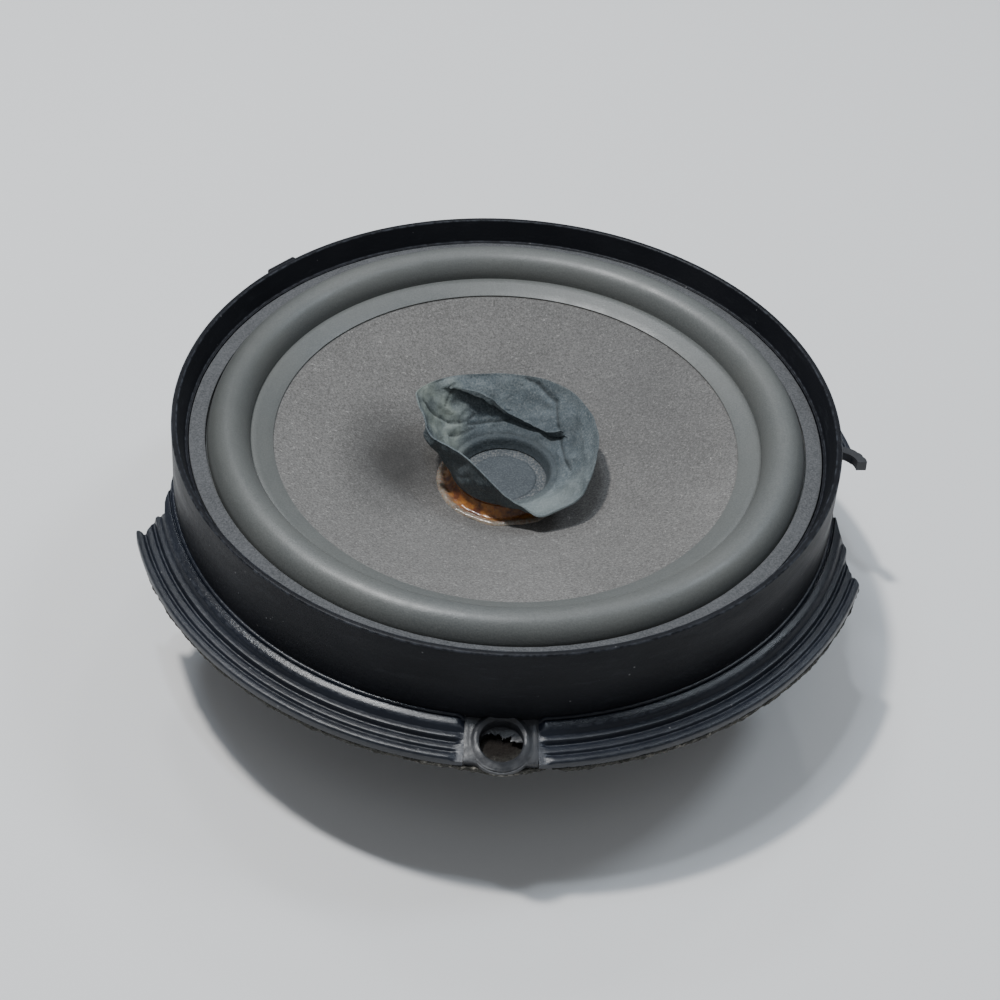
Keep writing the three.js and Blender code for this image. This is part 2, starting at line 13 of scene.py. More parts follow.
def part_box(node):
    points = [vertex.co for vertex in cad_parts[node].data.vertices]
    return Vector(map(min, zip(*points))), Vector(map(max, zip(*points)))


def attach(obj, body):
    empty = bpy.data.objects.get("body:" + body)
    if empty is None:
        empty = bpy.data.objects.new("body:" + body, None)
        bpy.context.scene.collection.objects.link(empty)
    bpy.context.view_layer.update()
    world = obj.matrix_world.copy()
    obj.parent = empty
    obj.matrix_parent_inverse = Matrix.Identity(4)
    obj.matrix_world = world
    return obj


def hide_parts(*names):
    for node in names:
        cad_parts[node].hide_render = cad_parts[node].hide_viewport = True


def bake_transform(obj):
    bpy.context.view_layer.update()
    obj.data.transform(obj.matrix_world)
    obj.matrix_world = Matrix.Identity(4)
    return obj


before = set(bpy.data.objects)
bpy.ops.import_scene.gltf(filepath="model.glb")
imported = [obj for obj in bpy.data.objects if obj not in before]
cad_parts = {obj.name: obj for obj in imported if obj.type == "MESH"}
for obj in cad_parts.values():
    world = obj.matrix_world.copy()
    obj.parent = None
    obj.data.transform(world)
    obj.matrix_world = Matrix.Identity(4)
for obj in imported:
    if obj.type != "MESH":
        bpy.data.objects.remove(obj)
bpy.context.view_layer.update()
MM = 0.001


# ---- Sizes read from the frame ----


def low(node):
    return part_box(node)[0] / MM


def high(node):
    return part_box(node)[1] / MM


RIM_Z = high("basket").z
BASE_Z = low("basket").z
LAND_Z = high("gasket_ring").z
GASKET_R = high("gasket_ring").x
LIP_R = high("surround").x
CREST_Z = high("surround").z
CONE_EDGE_R = high("cone").x
FORMER_R = high("voice_coil_former").x
FORMER_Z = high("voice_coil_former").z
CAP_R = high("dust_cap").x
CAP_Z = high("dust_cap").z
GLUE_R = high("glue_ring").x
SEAT_R = high("spider").x + 0.3
SEAT_Z = high("basket_rivet_1").z + 4.5
MAGNET_R = high("magnet").x
PLATE_R = high("top_plate").x
FOAM_Z = high("foam_gasket_rear").z
FLANGE_Z = FOAM_Z + 0.3

# ---- Sizes inside the nodes' boxes, the same as in the CAD part ----

RIM_R = 82.5
RIM_INNER_R = 81.1
WALL_FOOT_R = 83.1
WALL_FOOT_Z = 42.4
FLANGE_R = 93.5
SCREW_R = 88.2
HOLE_R = 4.85
BOSS_R = 6.5
BOSS_Z = 40.7
BOSS_SLOPE = 0.268
LEDGE_Z = 53.8
ROLL_OUTER_R = 74.2
ROLL_INNER_R = 63.7
LAP_R = 58.1
SPOKES = 6
POLE_R = 11.8
TERMINAL_X = 6.0

RIDGE_FOOT_R = 82.6  # where the flange's ridges begin
MEAN_R = 80  # where a turn of a texture is measured as a length
RIM_CENTRE = Vector((0, 0, RIM_Z))


def add_object(name, data):
    made = bpy.data.objects.new(name, data)
    bpy.context.scene.collection.objects.link(made)
    return made


# ---- Camera ----

CAMERA_TURN = -2.35
CAMERA_RISE = 42.89
CAMERA_ROLL = -4.11
CAMERA_DISTANCE = 445.1
CAMERA_AIM_RIGHT = -2.12
CAMERA_AIM_UP = -23.0
LENS = 64.8


def make_camera():
    rise, roll = math.radians(CAMERA_RISE), math.radians(CAMERA_ROLL)
    right0 = Vector((1, 0, 0))
    up0 = Vector((0, math.sin(rise), math.cos(rise)))
    back = Vector((0, -math.cos(rise), math.sin(rise)))
    right = math.cos(roll) * right0 - math.sin(roll) * up0
    up = math.sin(roll) * right0 + math.cos(roll) * up0
    turn = Matrix.Rotation(math.radians(CAMERA_TURN), 3, "Z")
    right, up, back = turn @ right, turn @ up, turn @ back
    aim = RIM_CENTRE + CAMERA_AIM_RIGHT * right + CAMERA_AIM_UP * up
    data = bpy.data.cameras.new("camera")
    data.lens = LENS
    data.sensor_width = 36
    camera = add_object("camera", data)
    columns = Matrix((right, up, back)).transposed().to_4x4()
    camera.matrix_world = Matrix.Translation((aim + CAMERA_DISTANCE * back) * MM) @ columns
    bpy.context.scene.camera = camera


make_camera()

# ---- Mesh helpers ----


def new_object(name, points, faces, material, wear=None, sharp=35, shade=None):
    """A mesh object from points in millimetres.

    wear and shade are one number per point, which the materials read.
    """
    mesh = bpy.data.meshes.new(name)
    mesh.from_pydata([Vector(p) * MM for p in points], [], faces)
    mesh.update()
    for label, values in (("wear", wear), ("shade", shade)):
        if values is not None:
            mesh.attributes.new(label, "FLOAT", "POINT").data.foreach_set("value", values)
    piece = add_object(name, mesh)
    mesh.materials.append(material)
    tidy(mesh, sharp)
    return piece


def tidy(mesh, sharp):
    """Merges doubled points, drops empty faces, turns faces outwards and shades them smooth."""
    work = bmesh.new()
    work.from_mesh(mesh)
    bmesh.ops.remove_doubles(work, verts=work.verts, dist=0.002 * MM)
    bmesh.ops.dissolve_degenerate(work, edges=work.edges, dist=0.002 * MM)
    bmesh.ops.recalc_face_normals(work, faces=work.faces)
    work.to_mesh(mesh)
    work.free()
    mesh.polygons.foreach_set("use_smooth", [True] * len(mesh.polygons))
    mesh.set_sharp_from_angle(angle=math.radians(sharp))
    mesh.update()


def join(name, pieces):
    """One object from several, with their meshes kept apart inside it."""
    materials = []
    for piece in pieces:
        if piece.data.materials[0] not in materials:
            materials.append(piece.data.materials[0])
    work = bmesh.new()
    for piece in pieces:
        first = len(work.faces)
        work.from_mesh(piece.data)
        work.faces.ensure_lookup_table()
        for face in work.faces[first:]:
            face.material_index = materials.index(piece.data.materials[0])
    mesh = pieces[0].data
    mesh.materials.clear()
    for material in materials:
        mesh.materials.append(material)
    work.to_mesh(mesh)
    work.free()
    for piece in pieces[1:]:
        bpy.data.objects.remove(piece)
    pieces[0].name = name
    mesh.name = name
    return pieces[0]


def place(piece, node, body):
    """Stands a piece in for its CAD node and its body."""
    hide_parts(node)
    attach(piece, body)


def rounded(outline, closed=True, steps=3):
    """Rounds the corners of an outline of (radius, z, fillet).

    Gives [(radius, z, wear)], where wear is 1 within a fillet.
    """
    out = []
    count = len(outline)
    for i, (x, z, fillet) in enumerate(outline):
        here = Vector((x, z))
        ends = not closed and i in (0, count - 1)
        if fillet <= 0 or ends:
            out.append((x, z, 0.0))
            continue
        before = Vector(outline[i - 1][:2]) - here
        after = Vector(outline[(i + 1) % count][:2]) - here
        reach = min(fillet, before.length * 0.49, after.length * 0.49)
        a, b = here + before.normalized() * reach, here + after.normalized() * reach
        for k in range(steps + 1):
            t = k / steps
            point = (1 - t) ** 2 * a + 2 * t * (1 - t) * here + t * t * b
            out.append((point.x, point.y, 0.0 if k in (0, steps) else 1.0))
    return out


def polar(radius, degrees, z=0.0):
    angle = math.radians(degrees)
    return Vector((radius * math.cos(angle), radius * math.sin(angle), z))


def quads(columns, rows, around=True, closed=True):
    """The faces of a grid of points kept column by column.

    It may close round the columns and round the rows.
    """
    faces = []
    for i in range(columns if around else columns - 1):
        j = (i + 1) % columns
        for k in range(rows if closed else rows - 1):
            m = (k + 1) % rows
            faces.append((i * rows + k, j * rows + k, j * rows + m, i * rows + m))
    return faces


def lathe(name, section, material, columns=288, closed=True, shift=None, sharp=35):
    """Turns a section of (radius, z, wear) about Z. shift(point, degrees) may move each point."""
    points, wear = [], []
    for i in range(columns):
        degrees = 360 * i / columns
        for r, z, worn in section:
            point = polar(max(r, 0.0), degrees, z)
            points.append(shift(point, degrees) if shift else point)
            wear.append(worn)
    return new_object(name, points, quads(columns, len(section), closed=closed), material, wear, sharp)


def sheet_faces(columns, rows):
    """The faces of a thick sheet whose points come in pairs, upper and lower, column by column."""

    def at(i, k, below):
        return 2 * (i * rows + k) + below

    faces = []
    for i in range(columns - 1):
        n = i + 1
        for k in range(rows - 1):
            m = k + 1
            faces += [(at(i, k, b), at(n, k, b), at(n, m, b), at(i, m, b)) for b in (0, 1)]
        faces += [(at(i, k, 0), at(n, k, 0), at(n, k, 1), at(i, k, 1)) for k in (0, rows - 1)]
    for i in (0, columns - 1):
        faces += [(at(i, k, 0), at(i, k + 1, 0), at(i, k + 1, 1), at(i, k, 1)) for k in range(rows - 1)]
    return faces


def slab(name, top, floor_z, start, end, columns, material, level):
    """Part of a turn with a shaped top [(radius, z, wear)] and a flat underside, closed at both ends.

    start(radius) and end(radius) give the angles where it begins and stops.
    level(radius, degrees, z) gives the height of the top.
    """
    points, wear = [], []
    for i in range(columns + 1):
        t = i / columns
        for r, z, worn in top:
            degrees = (1 - t) * start(r) + t * end(r)
            points += [polar(r, degrees, level(r, degrees, z)), polar(r, degrees, floor_z)]
            wear += [worn, 0.0]
    faces = sheet_faces(columns + 1, len(top))
    return new_object(name, points, faces, material, wear)


def ripple(height, scale, seed):
    """A shift for lathe() that lifts and lowers points by smooth noise."""
    return lambda point, degrees: point + Vector((0, 0, height * rough(point, scale, seed)))


def finer(section, step):
    """The same section with no stretch longer than step."""
    out = [section[0]]
    for (x0, z0, w0), (x1, z1, w1) in zip(section, section[1:]):
        count = max(1, math.ceil(math.hypot(x1 - x0, z1 - z0) / step))
        for k in range(1, count + 1):
            t = k / count
            out.append((x0 + (x1 - x0) * t, z0 + (z1 - z0) * t, w0 + (w1 - w0) * t))
    return out


def between(x, table):
    """Straight-line value at x in a table of (x, value) sorted by x."""
    if x <= table[0][0]:
        return table[0][1]
    for (x0, v0), (x1, v1) in zip(table, table[1:]):
        if x <= x1:
            return v0 + (v1 - v0) * (x - x0) / (x1 - x0)
    return table[-1][1]


def smooth(x):
    x = min(max(x, 0.0), 1.0)
    return x * x * (3 - 2 * x)


def rough(point, scale, seed=0.0):
    """Smooth noise from -1 to 1 at a point in millimetres, with features about scale across."""
    return noise.noise(Vector(point) / scale + Vector((seed, seed * 1.7, -seed)))


def bevelled(name, corners, width, material):
    """A block from its four lower and four upper corners, with rounded edges."""
    faces = [(3, 2, 1, 0), (4, 5, 6, 7), (0, 1, 5, 4), (1, 2, 6, 5), (2, 3, 7, 6), (3, 0, 4, 7)]
    piece = new_object(name, corners, faces, material, [0.0] * 8)
    work = bmesh.new()
    work.from_mesh(piece.data)
    bmesh.ops.bevel(
        work, geom=work.edges[:], offset=width * MM, segments=2, profile=0.6, affect="EDGES"
    )
    work.to_mesh(piece.data)
    work.free()
    tidy(piece.data, 40)
    return piece


# ---- Material helper ----


class Paint:
    """Builds the nodes of one material. Textures are placed by object coordinates, in metres."""

    def __init__(self, name):
        self.material = bpy.data.materials.new(name)
        self.material.use_nodes = True
        self.tree = self.material.node_tree
        self.shader = self.tree.nodes["Principled BSDF"]
        self.place = self.node("ShaderNodeTexCoord").outputs["Object"]

    def node(self, kind, **settings):
        made = self.tree.nodes.new(kind)
        for key, value in settings.items():
            setattr(made, key, value)
        return made

    def feed(self, socket, value):
        if isinstance(value, bpy.types.NodeSocket):
            self.tree.links.new(value, socket)
        else:
            socket.default_value = value

    def set(self, **values):
        """Sets or links the shader's sockets. Underscores stand for spaces."""
        for key, value in values.items():
            self.feed(self.shader.inputs[key.replace("_", " ")], value)

    def stretched(self, x, y, z):
        made = self.node("ShaderNodeMapping")
        self.feed(made.inputs["Vector"], self.place)
        made.inputs["Scale"].default_value = (x, y, z)
        return made.outputs["Vector"]

    def noise(self, size_mm, detail=3.0, rough=0.55, source=None, distort=0.0):
        made = self.node("ShaderNodeTexNoise")
        self.feed(made.inputs["Vector"], source or self.place)
        made.inputs["Scale"].default_value = 1 / (size_mm * MM)
        made.inputs["Detail"].default_value = detail
        made.inputs["Roughness"].default_value = rough
        made.inputs["Distortion"].default_value = distort
        return made.outputs["Fac"]

    def cells(self, size_mm, feature="F1"):
        """The distance into the cells of a pattern about size_mm across."""
        made = self.node("ShaderNodeTexVoronoi", feature=feature)
        self.feed(made.inputs["Vector"], self.place)
        made.inputs["Scale"].default_value = 1 / (size_mm * MM)
        return made.outputs["Distance"]

    def ramp(self, value, *stops):
        """stops are (position, colour or number)."""
        made = self.node("ShaderNodeValToRGB")
        self.feed(made.inputs["Fac"], value)
        band = made.color_ramp
        while len(band.elements) < len(stops):
            band.elements.new(0.5)
        for element, (position, colour) in zip(band.elements, stops):
            element.position = position
            rgb = colour if isinstance(colour, tuple) else (colour,) * 3
            element.color = (*rgb, 1.0)
        return made.outputs["Color"]

    def rise(self, value, low, high):
        """0 up to low, then rising to 1 at high."""
        return self.ramp(value, (low, 0.0), (high, 1.0))

    def patches(self, low, high, *noise_settings):
        return self.rise(self.noise(*noise_settings), low, high)

    def mix(self, share, a, b, mode="MIX"):
        made = self.node("ShaderNodeMix", data_type="RGBA", blend_type=mode)
        self.feed(made.inputs[0], share)
        for socket, value in ((made.inputs[6], a), (made.inputs[7], b)):
            self.feed(socket, (*value, 1.0) if isinstance(value, tuple) else value)
        return made.outputs[2]

    def maths(self, operation, a, b=0.0):
        made = self.node("ShaderNodeMath", operation=operation)
        self.feed(made.inputs[0], a)
        self.feed(made.inputs[1], b)
        return made.outputs[0]

    def times(self, a, b):
        return self.maths("MULTIPLY", a, b)

    def both(self, a, b):
        """Two colours multiplied."""
        return self.mix(1.0, a, b, "MULTIPLY")

    def attribute(self, name):
        return self.node("ShaderNodeAttribute", attribute_name=name).outputs["Fac"]

    def polar_place(self, out, turn, up=1.0):
        """Coordinates that run out from the axis, round it and up, each divided by a stretch."""
        split = self.node("ShaderNodeSeparateXYZ")
        self.feed(split.inputs[0], self.place)
        x, y, z = split.outputs
        square = self.maths("ADD", self.times(x, x), self.times(y, y))
        radius = self.maths("SQRT", square)
        angle = self.maths("ARCTAN2", y, x)
        made = self.node("ShaderNodeCombineXYZ")
        self.feed(made.inputs[0], self.maths("DIVIDE", radius, out))
        self.feed(made.inputs[1], self.maths("DIVIDE", self.times(angle, MEAN_R * MM), turn))
        self.feed(made.inputs[2], self.maths("DIVIDE", z, up))
        return made.outputs[0]

    def blot(self, centre_mm, reach_mm, turn=0.0, soft=0.5):
        """1 at a spot, seen from above, falling to 0 at the edge of an ellipse round it."""
        made = self.node("ShaderNodeMapping", vector_type="TEXTURE")
        self.feed(made.inputs["Vector"], self.place)
        made.inputs["Location"].default_value = (centre_mm[0] * MM, centre_mm[1] * MM, 0.0)
        made.inputs["Rotation"].default_value = (0.0, 0.0, math.radians(turn))
        made.inputs["Scale"].default_value = (reach_mm[0] * MM, reach_mm[1] * MM, 1e6)
        length = self.node("ShaderNodeVectorMath", operation="LENGTH")
        self.feed(length.inputs[0], made.outputs["Vector"])
        ragged = self.times(self.noise(min(reach_mm) * 0.6, 3), 0.3)
        distance = self.maths("ADD", length.outputs["Value"], self.maths("SUBTRACT", ragged, 0.15))
        return self.ramp(distance, (1 - soft, 1.0), (1.0, 0.0))

    def bump(self, height, depth_mm, strength=1.0, after=None):
        made = self.node("ShaderNodeBump")
        made.inputs["Strength"].default_value = strength
        made.inputs["Distance"].default_value = depth_mm * MM
        self.feed(made.inputs["Height"], height)
        if after is not None:
            self.feed(made.inputs["Normal"], after)
        return made.outputs["Normal"]


# ---- Materials ----


def basket_plastic(name, shine, rough_low, rough_high, dark, light):
    """Black moulded plastic, where shine is the specular level.

    The flange's inner ridge is polished and its outer ones are dull.
    """
    p = Paint(name)
    turn = p.polar_place(1.0, 5.0)
    radius = p.node("ShaderNodeSeparateXYZ")
    p.feed(radius.inputs[0], turn)
    outside = p.ramp(p.times(radius.outputs[0], 10.0), (0.862, 0.0), (0.87, 1.0))
    clouds = p.patches(0.35, 0.7, 26, 3)
    scuffs = p.patches(0.56, 0.78, 2.2, 5, 0.7, turn)
    specks = p.ramp(p.cells(2.2), (0.0, 1.0), (0.07, 1.0), (0.13, 0.0))
    chosen = p.patches(0.6, 0.63, 4.0, 2)
    dust = p.both(specks, chosen)
    worn = p.both(p.attribute("wear"), p.patches(0.4, 0.66, 1.6, 4))
    black = p.mix(clouds, dark, light)
    scuffed = p.mix(p.times(scuffs, 0.5), black, (0.03, 0.033, 0.039))
    edged = p.mix(p.times(worn, 0.8), scuffed, (0.05, 0.055, 0.066))
    p.set(Base_Color=p.mix(dust, edged, (0.14, 0.14, 0.145)))
    polish = p.ramp(p.noise(5, 4, 0.6, turn), (0.3, rough_low), (0.75, rough_high))
    p.set(Roughness=p.mix(outside, polish, (rough_high - 0.06,) * 3))
    p.set(Specular_IOR_Level=shine)
    fine = p.bump(p.noise(0.45, 3), 0.022, 0.7)
    hammered = p.bump(p.noise(1.1, 5, 0.75, p.polar_place(1.0, 1.3)), 0.11, 0.9, fine)
    p.set(Normal=p.bump(p.noise(7, 3, 0.5, turn), 0.05, 0.5, hammered))
    return p.material


def boss_plastic():
    p = Paint("boss_plastic")
    scratch = p.patches(0.4, 0.72, 1.4, 6, 0.75, p.stretched(1.0, 0.5, 1.0))
    dark = p.ramp(p.noise(3, 3), (0.35, (0.008, 0.009, 0.012)), (0.7, (0.018, 0.02, 0.025)))
    edged = p.mix(p.times(p.attribute("wear"), 0.45), dark, (0.07, 0.072, 0.078))
    p.set(Base_Color=p.mix(scratch, edged, (0.036, 0.038, 0.043)))
    p.set(Roughness=p.ramp(scratch, (0.0, 0.35), (1.0, 0.6)))
    p.set(Normal=p.bump(p.noise(1.0, 6, 0.75), 0.1, 0.7))
    return p.material


def rubber():
    p = Paint("surround_rubber")
    speckle = p.patches(0.3, 0.75, 0.38, 2, 0.7)
    clouds = p.patches(0.3, 0.72, 28, 3)
    base = p.mix(clouds, (0.084, 0.092, 0.092), (0.104, 0.109, 0.102))
    grains = p.mix(speckle, base, (0.138, 0.143, 0.138))
    marks = p.patches(0.62, 0.8, 3.2, 5, 0.7, p.polar_place(1.0, 3.0))
    # painted shade: the roll darker over its left side
    left_roll_shade_mask = p.times(p.blot((-74.0, 8.0), (30.0, 70.0), 0.0, 0.8), 0.4)
    marked = p.mix(marks, grains, (0.15, 0.155, 0.148))
    p.set(Base_Color=p.mix(left_roll_shade_mask, marked, (0.045, 0.048, 0.044)))
    p.set(Roughness=p.ramp(p.noise(6, 4), (0.3, 0.36), (0.75, 0.5)))
    p.set(Specular_IOR_Level=0.55)
    p.set(Normal=p.bump(p.noise(0.9, 3, 0.6), 0.07, 0.6, p.bump(p.noise(0.3, 3, 0.6), 0.05, 0.55)))
    return p.material


def gasket_paper():
    p = Paint("gasket_paper")
    fibres = p.patches(0.35, 0.72, 0.45, 5, 0.75)
    base = p.ramp(p.noise(14, 3), (0.3, (0.04, 0.043, 0.046)), (0.7, (0.062, 0.066, 0.07)))
    p.set(Base_Color=p.mix(fibres, base, (0.14, 0.141, 0.147)))
    p.set(Roughness=0.85, Specular_IOR_Level=0.25)
    p.set(Normal=p.bump(p.noise(0.5, 5, 0.7), 0.1, 0.8))
    return p.material


def cone_paper():
    p = Paint("cone_paper")
    felt = p.noise(0.55, 6, 0.78)
    tangle = p.noise(1.3, 5, 0.7, p.stretched(1.0, 2.6, 1.0), 1.2)
    cross = p.noise(1.3, 5, 0.7, p.stretched(2.6, 1.0, 1.0), 1.2)
    clouds = p.noise(30, 3)
    base = p.ramp(clouds, (0.32, (0.142, 0.138, 0.133)), (0.68, (0.178, 0.173, 0.167)))
    dark = p.mix(p.ramp(felt, (0.35, 1.0), (0.52, 0.0)), base, (0.08, 0.076, 0.073))
    light = p.mix(p.rise(felt, 0.53, 0.7), dark, (0.275, 0.268, 0.256))
    hairs = p.mix(p.rise(tangle, 0.6, 0.68), light, (0.36, 0.35, 0.335))
    fibres = p.mix(p.rise(cross, 0.61, 0.69), hairs, (0.33, 0.32, 0.305))
    # painted shadow: the whizzer cone's soft shadow, darkening the cone to its left
    whizzer_shadow_mask = p.blot((-27.5, 1.0), (17.0, 25.0), -8.0, 0.8)
    # painted shade: the cone darker over its right and back
    far_side_shade_mask = p.blot((34.0, 30.0), (60.0, 48.0), -30.0, 1.0)
    far_side_shaded = p.mix(p.times(far_side_shade_mask, 0.3), fibres, (0.075, 0.076, 0.08))
    p.set(Base_Color=p.mix(p.times(whizzer_shadow_mask, 0.76), far_side_shaded, (0.03, 0.03, 0.03)))
    p.set(Roughness=0.92, Specular_IOR_Level=0.2, Sheen_Weight=0.12, Sheen_Roughness=0.5)
    p.set(Normal=p.bump(tangle, 0.07, 0.6, p.bump(felt, 0.12, 0.7)))
    return p.material


def whizzer_paper():
    p = Paint("whizzer_paper")
    felt = p.noise(0.5, 5, 0.7)
    clouds = p.noise(6, 5, 0.65)
    base = p.ramp(clouds, (0.32, (0.08, 0.102, 0.115)), (0.7, (0.138, 0.162, 0.17)))
    pitted = p.mix(p.ramp(felt, (0.3, 1.0), (0.48, 0.0)), base, (0.05, 0.066, 0.076))
    grain = p.mix(p.rise(felt, 0.5, 0.72), pitted, (0.23, 0.25, 0.255))
    scuffs = p.patches(0.55, 0.7, 1.8, 6, 0.75, None, 0.8)
    scuffed = p.mix(p.times(scuffs, 0.45), grain, (0.22, 0.24, 0.245))
    edge = p.both(p.attribute("wear"), p.ramp(felt, (0.35, 0.0), (0.6, 0.8)))
    worn = p.mix(edge, scuffed, (0.24, 0.265, 0.265))
    # olive tint on the left inner face, made lighter there as painted light
    olive_tint_and_light_mask = p.both(p.blot((-17.0, 10.0), (9.0, 11.0)), p.ramp(p.noise(5, 3), (0.35, 0.3), (0.7, 1.0)))
    olive_tint_and_lit = p.mix(p.times(olive_tint_and_light_mask, 0.85), worn, (0.3, 0.335, 0.29))
    to_crack = p.cells(3.4, "DISTANCE_TO_EDGE")
    cracks = p.ramp(to_crack, (0.0, 1.0), (0.035, 0.0))
    lined = p.mix(p.times(p.both(cracks, scuffs), 0.5), olive_tint_and_lit, (0.04, 0.05, 0.056))
    # painted shade: darker round the neck and down into it
    throat_shade_mask = p.times(p.blot((3.0, 5.0), (20.0, 16.0), 20.0, 0.7), 0.55)
    throat_shaded = p.mix(throat_shade_mask, lined, (0.046, 0.059, 0.074))
    # painted light: the flap at the front right lighter
    pale = p.times(p.blot((11.0, -14.0), (13.0, 9.0), 30.0, 0.8), 0.5)
    flap_lit = p.mix(pale, throat_shaded, (0.24, 0.27, 0.262))
    # painted shade from the shade attribute
    p.set(Base_Color=p.mix(p.times(p.attribute("shade"), 0.85), flap_lit, (0.018, 0.023, 0.026)))
    p.set(Roughness=p.ramp(felt, (0.3, 0.6), (0.7, 0.8)))
    p.set(Specular_IOR_Level=0.3)
    crumple = p.bump(p.noise(2.4, 6, 0.75, None, 0.6), 0.42, 0.9, p.bump(felt, 0.09, 0.8))
    p.set(Normal=crumple)
    return p.material


def cap_paper():
    p = Paint("dust_cap_paper")
    felt = p.noise(0.45, 4, 0.7)
    base = p.ramp(p.noise(5, 4), (0.3, (0.029, 0.037, 0.044)), (0.7, (0.047, 0.057, 0.066)))
    grain = p.mix(p.rise(felt, 0.45, 0.75), base, (0.1, 0.112, 0.12))
    specks = p.patches(0.5, 0.62, 0.5, 3, 0.8)
    on_ring = p.both(specks, p.attribute("wear"))
    p.set(Base_Color=p.mix(on_ring, grain, (0.19, 0.185, 0.175)))
    p.set(Roughness=0.68)
    p.set(Normal=p.bump(felt, 0.06, 0.7))
    return p.material


def amber_glue():
    p = Paint("amber_glue")
    blotch = p.patches(0.38, 0.62, 3.5, 3, 0.6)
    warm = p.mix(blotch, (0.42, 0.17, 0.03), (0.12, 0.035, 0.012))
    pale = p.attribute("wear")
    strands = p.ramp(p.noise(0.9, 4, 0.7, p.polar_place(1.0, 4.0)), (0.36, 0.25), (0.64, 0.95))
    clear = p.both(strands, pale)
    faded = p.mix(p.times(pale, 0.6), warm, (0.13, 0.105, 0.085))
    p.set(Base_Color=p.mix(clear, faded, (0.3, 0.275, 0.23)))
    p.set(Roughness=p.ramp(p.noise(1.2, 3), (0.3, 0.12), (0.7, 0.3)))
    p.set(Coat_Weight=0.6, Coat_Roughness=0.08, Subsurface_Weight=0.25, Subsurface_Scale=0.8 * MM)
    p.set(Normal=p.bump(p.noise(0.9, 3), 0.18, 0.8))
    return p.material


def film():
    p = Paint("former_film")
    p.set(Base_Color=p.ramp(p.noise(2.5, 3), (0.3, (0.16, 0.05, 0.012)), (0.7, (0.38, 0.14, 0.025))))
    p.set(Roughness=p.ramp(p.noise(4, 2), (0.3, 0.22), (0.7, 0.4)))
    p.set(Coat_Weight=0.3)
    return p.material


def foam_residue():
    p = Paint("foam_residue")
    cells = p.cells(0.9)
    crumbs = p.patches(0.52, 0.68, 1.4, 5, 0.75)
    base = p.ramp(cells, (0.0, (0.008, 0.008, 0.007)), (0.6, (0.042, 0.041, 0.035)))
    right = p.blot((62.0, -78.0), (40.0, 36.0), 0.0)
    left = p.blot((-4.0, -95.0), (26.0, 6.0), 0.0)
    residue = p.maths("MAXIMUM", right, left)
    shade = p.mix(residue, (0.06, 0.058, 0.05), (0.34, 0.32, 0.28))
    # painted shade: near black round the front screw hole, on the sheet seen through it
    hole_shade_mask = p.blot((0.0, -86.5), (6.5, 6.5), 0.0)
    p.set(Base_Color=p.mix(hole_shade_mask, p.mix(crumbs, base, shade), (0.009, 0.006, 0.004)))
    p.set(Roughness=0.95)
    p.set(Normal=p.bump(cells, 0.5, 1.0))
    return p.material


def metal(name, tint, tint_dark, rough_low, rough_high, streaks=True):
    p = Paint(name)
    ring = p.polar_place(0.6, 14.0)
    grain = p.noise(0.8, 4, 0.7, ring if streaks else None)
    spots = p.ramp(p.noise(7, 5, 0.65), (0.35, tint_dark), (0.7, tint))
    p.set(Base_Color=p.mix(p.ramp(grain, (0.35, 0.0), (0.75, 0.35)), spots, tint_dark))
    p.set(Roughness=p.ramp(grain, (0.3, rough_low), (0.75, rough_high)))
    p.set(Metallic=1.0)
    p.set(Normal=p.bump(grain, 0.02, 0.5))
    return p.material


def ferrite():
    p = Paint("ferrite")
    grain = p.noise(0.7, 5, 0.7)
    chips = p.patches(0.6, 0.68, 4, 5, 0.7)
    base = p.ramp(grain, (0.3, (0.028, 0.028, 0.03)), (0.75, (0.062, 0.062, 0.065)))
    p.set(Base_Color=p.mix(p.both(chips, p.attribute("wear")), base, (0.14, 0.14, 0.145)))
    p.set(Roughness=p.ramp(grain, (0.3, 0.5), (0.7, 0.75)))
    p.set(Normal=p.bump(grain, 0.08, 0.8))
    return p.material


def cloth():
    p = Paint("spider_cloth")
    weave_x = p.node("ShaderNodeTexWave", wave_type="BANDS", bands_direction="X")
    weave_y = p.node("ShaderNodeTexWave", wave_type="BANDS", bands_direction="Y")
    for wave in (weave_x, weave_y):
        p.feed(wave.inputs["Vector"], p.place)
        wave.inputs["Scale"].default_value = 380.0
        wave.inputs["Distortion"].default_value = 0.6
    weave = p.mix(0.5, weave_x.outputs["Color"], weave_y.outputs["Color"])
    base = p.ramp(p.noise(8, 4), (0.3, (0.34, 0.2, 0.06)), (0.7, (0.5, 0.33, 0.12)))
    p.set(Base_Color=p.mix(p.ramp(weave, (0.3, 0.6), (0.7, 0.0)), base, (0.16, 0.09, 0.03)))
    p.set(Roughness=0.8)
    p.set(Normal=p.bump(weave, 0.12, 0.8))
    return p.material


def laminate():
    p = Paint("board_laminate")
    fibre = p.noise(1.0, 5, 0.7, p.stretched(1.0, 4.0, 1.0))
    p.set(Base_Color=p.ramp(fibre, (0.3, (0.1, 0.045, 0.018)), (0.7, (0.19, 0.095, 0.04))))
    p.set(Roughness=p.ramp(fibre, (0.3, 0.35), (0.7, 0.55)))
    p.set(Normal=p.bump(fibre, 0.04, 0.6))
    return p.material


def winding():
    p = Paint("copper_wire")
    split = p.node("ShaderNodeSeparateXYZ")
    p.feed(split.inputs[0], p.place)
    turns = p.maths("SINE", p.times(split.outputs[2], 2 * math.pi / (0.25 * MM)))
    p.set(Base_Color=p.ramp(turns, (0.0, (0.32, 0.1, 0.035)), (1.0, (0.8, 0.34, 0.14))))
    p.set(Metallic=1.0)
    p.set(Roughness=p.ramp(p.noise(3, 3), (0.3, 0.25), (0.7, 0.4)))
    p.set(Normal=p.bump(turns, 0.1, 1.0))
    return p.material


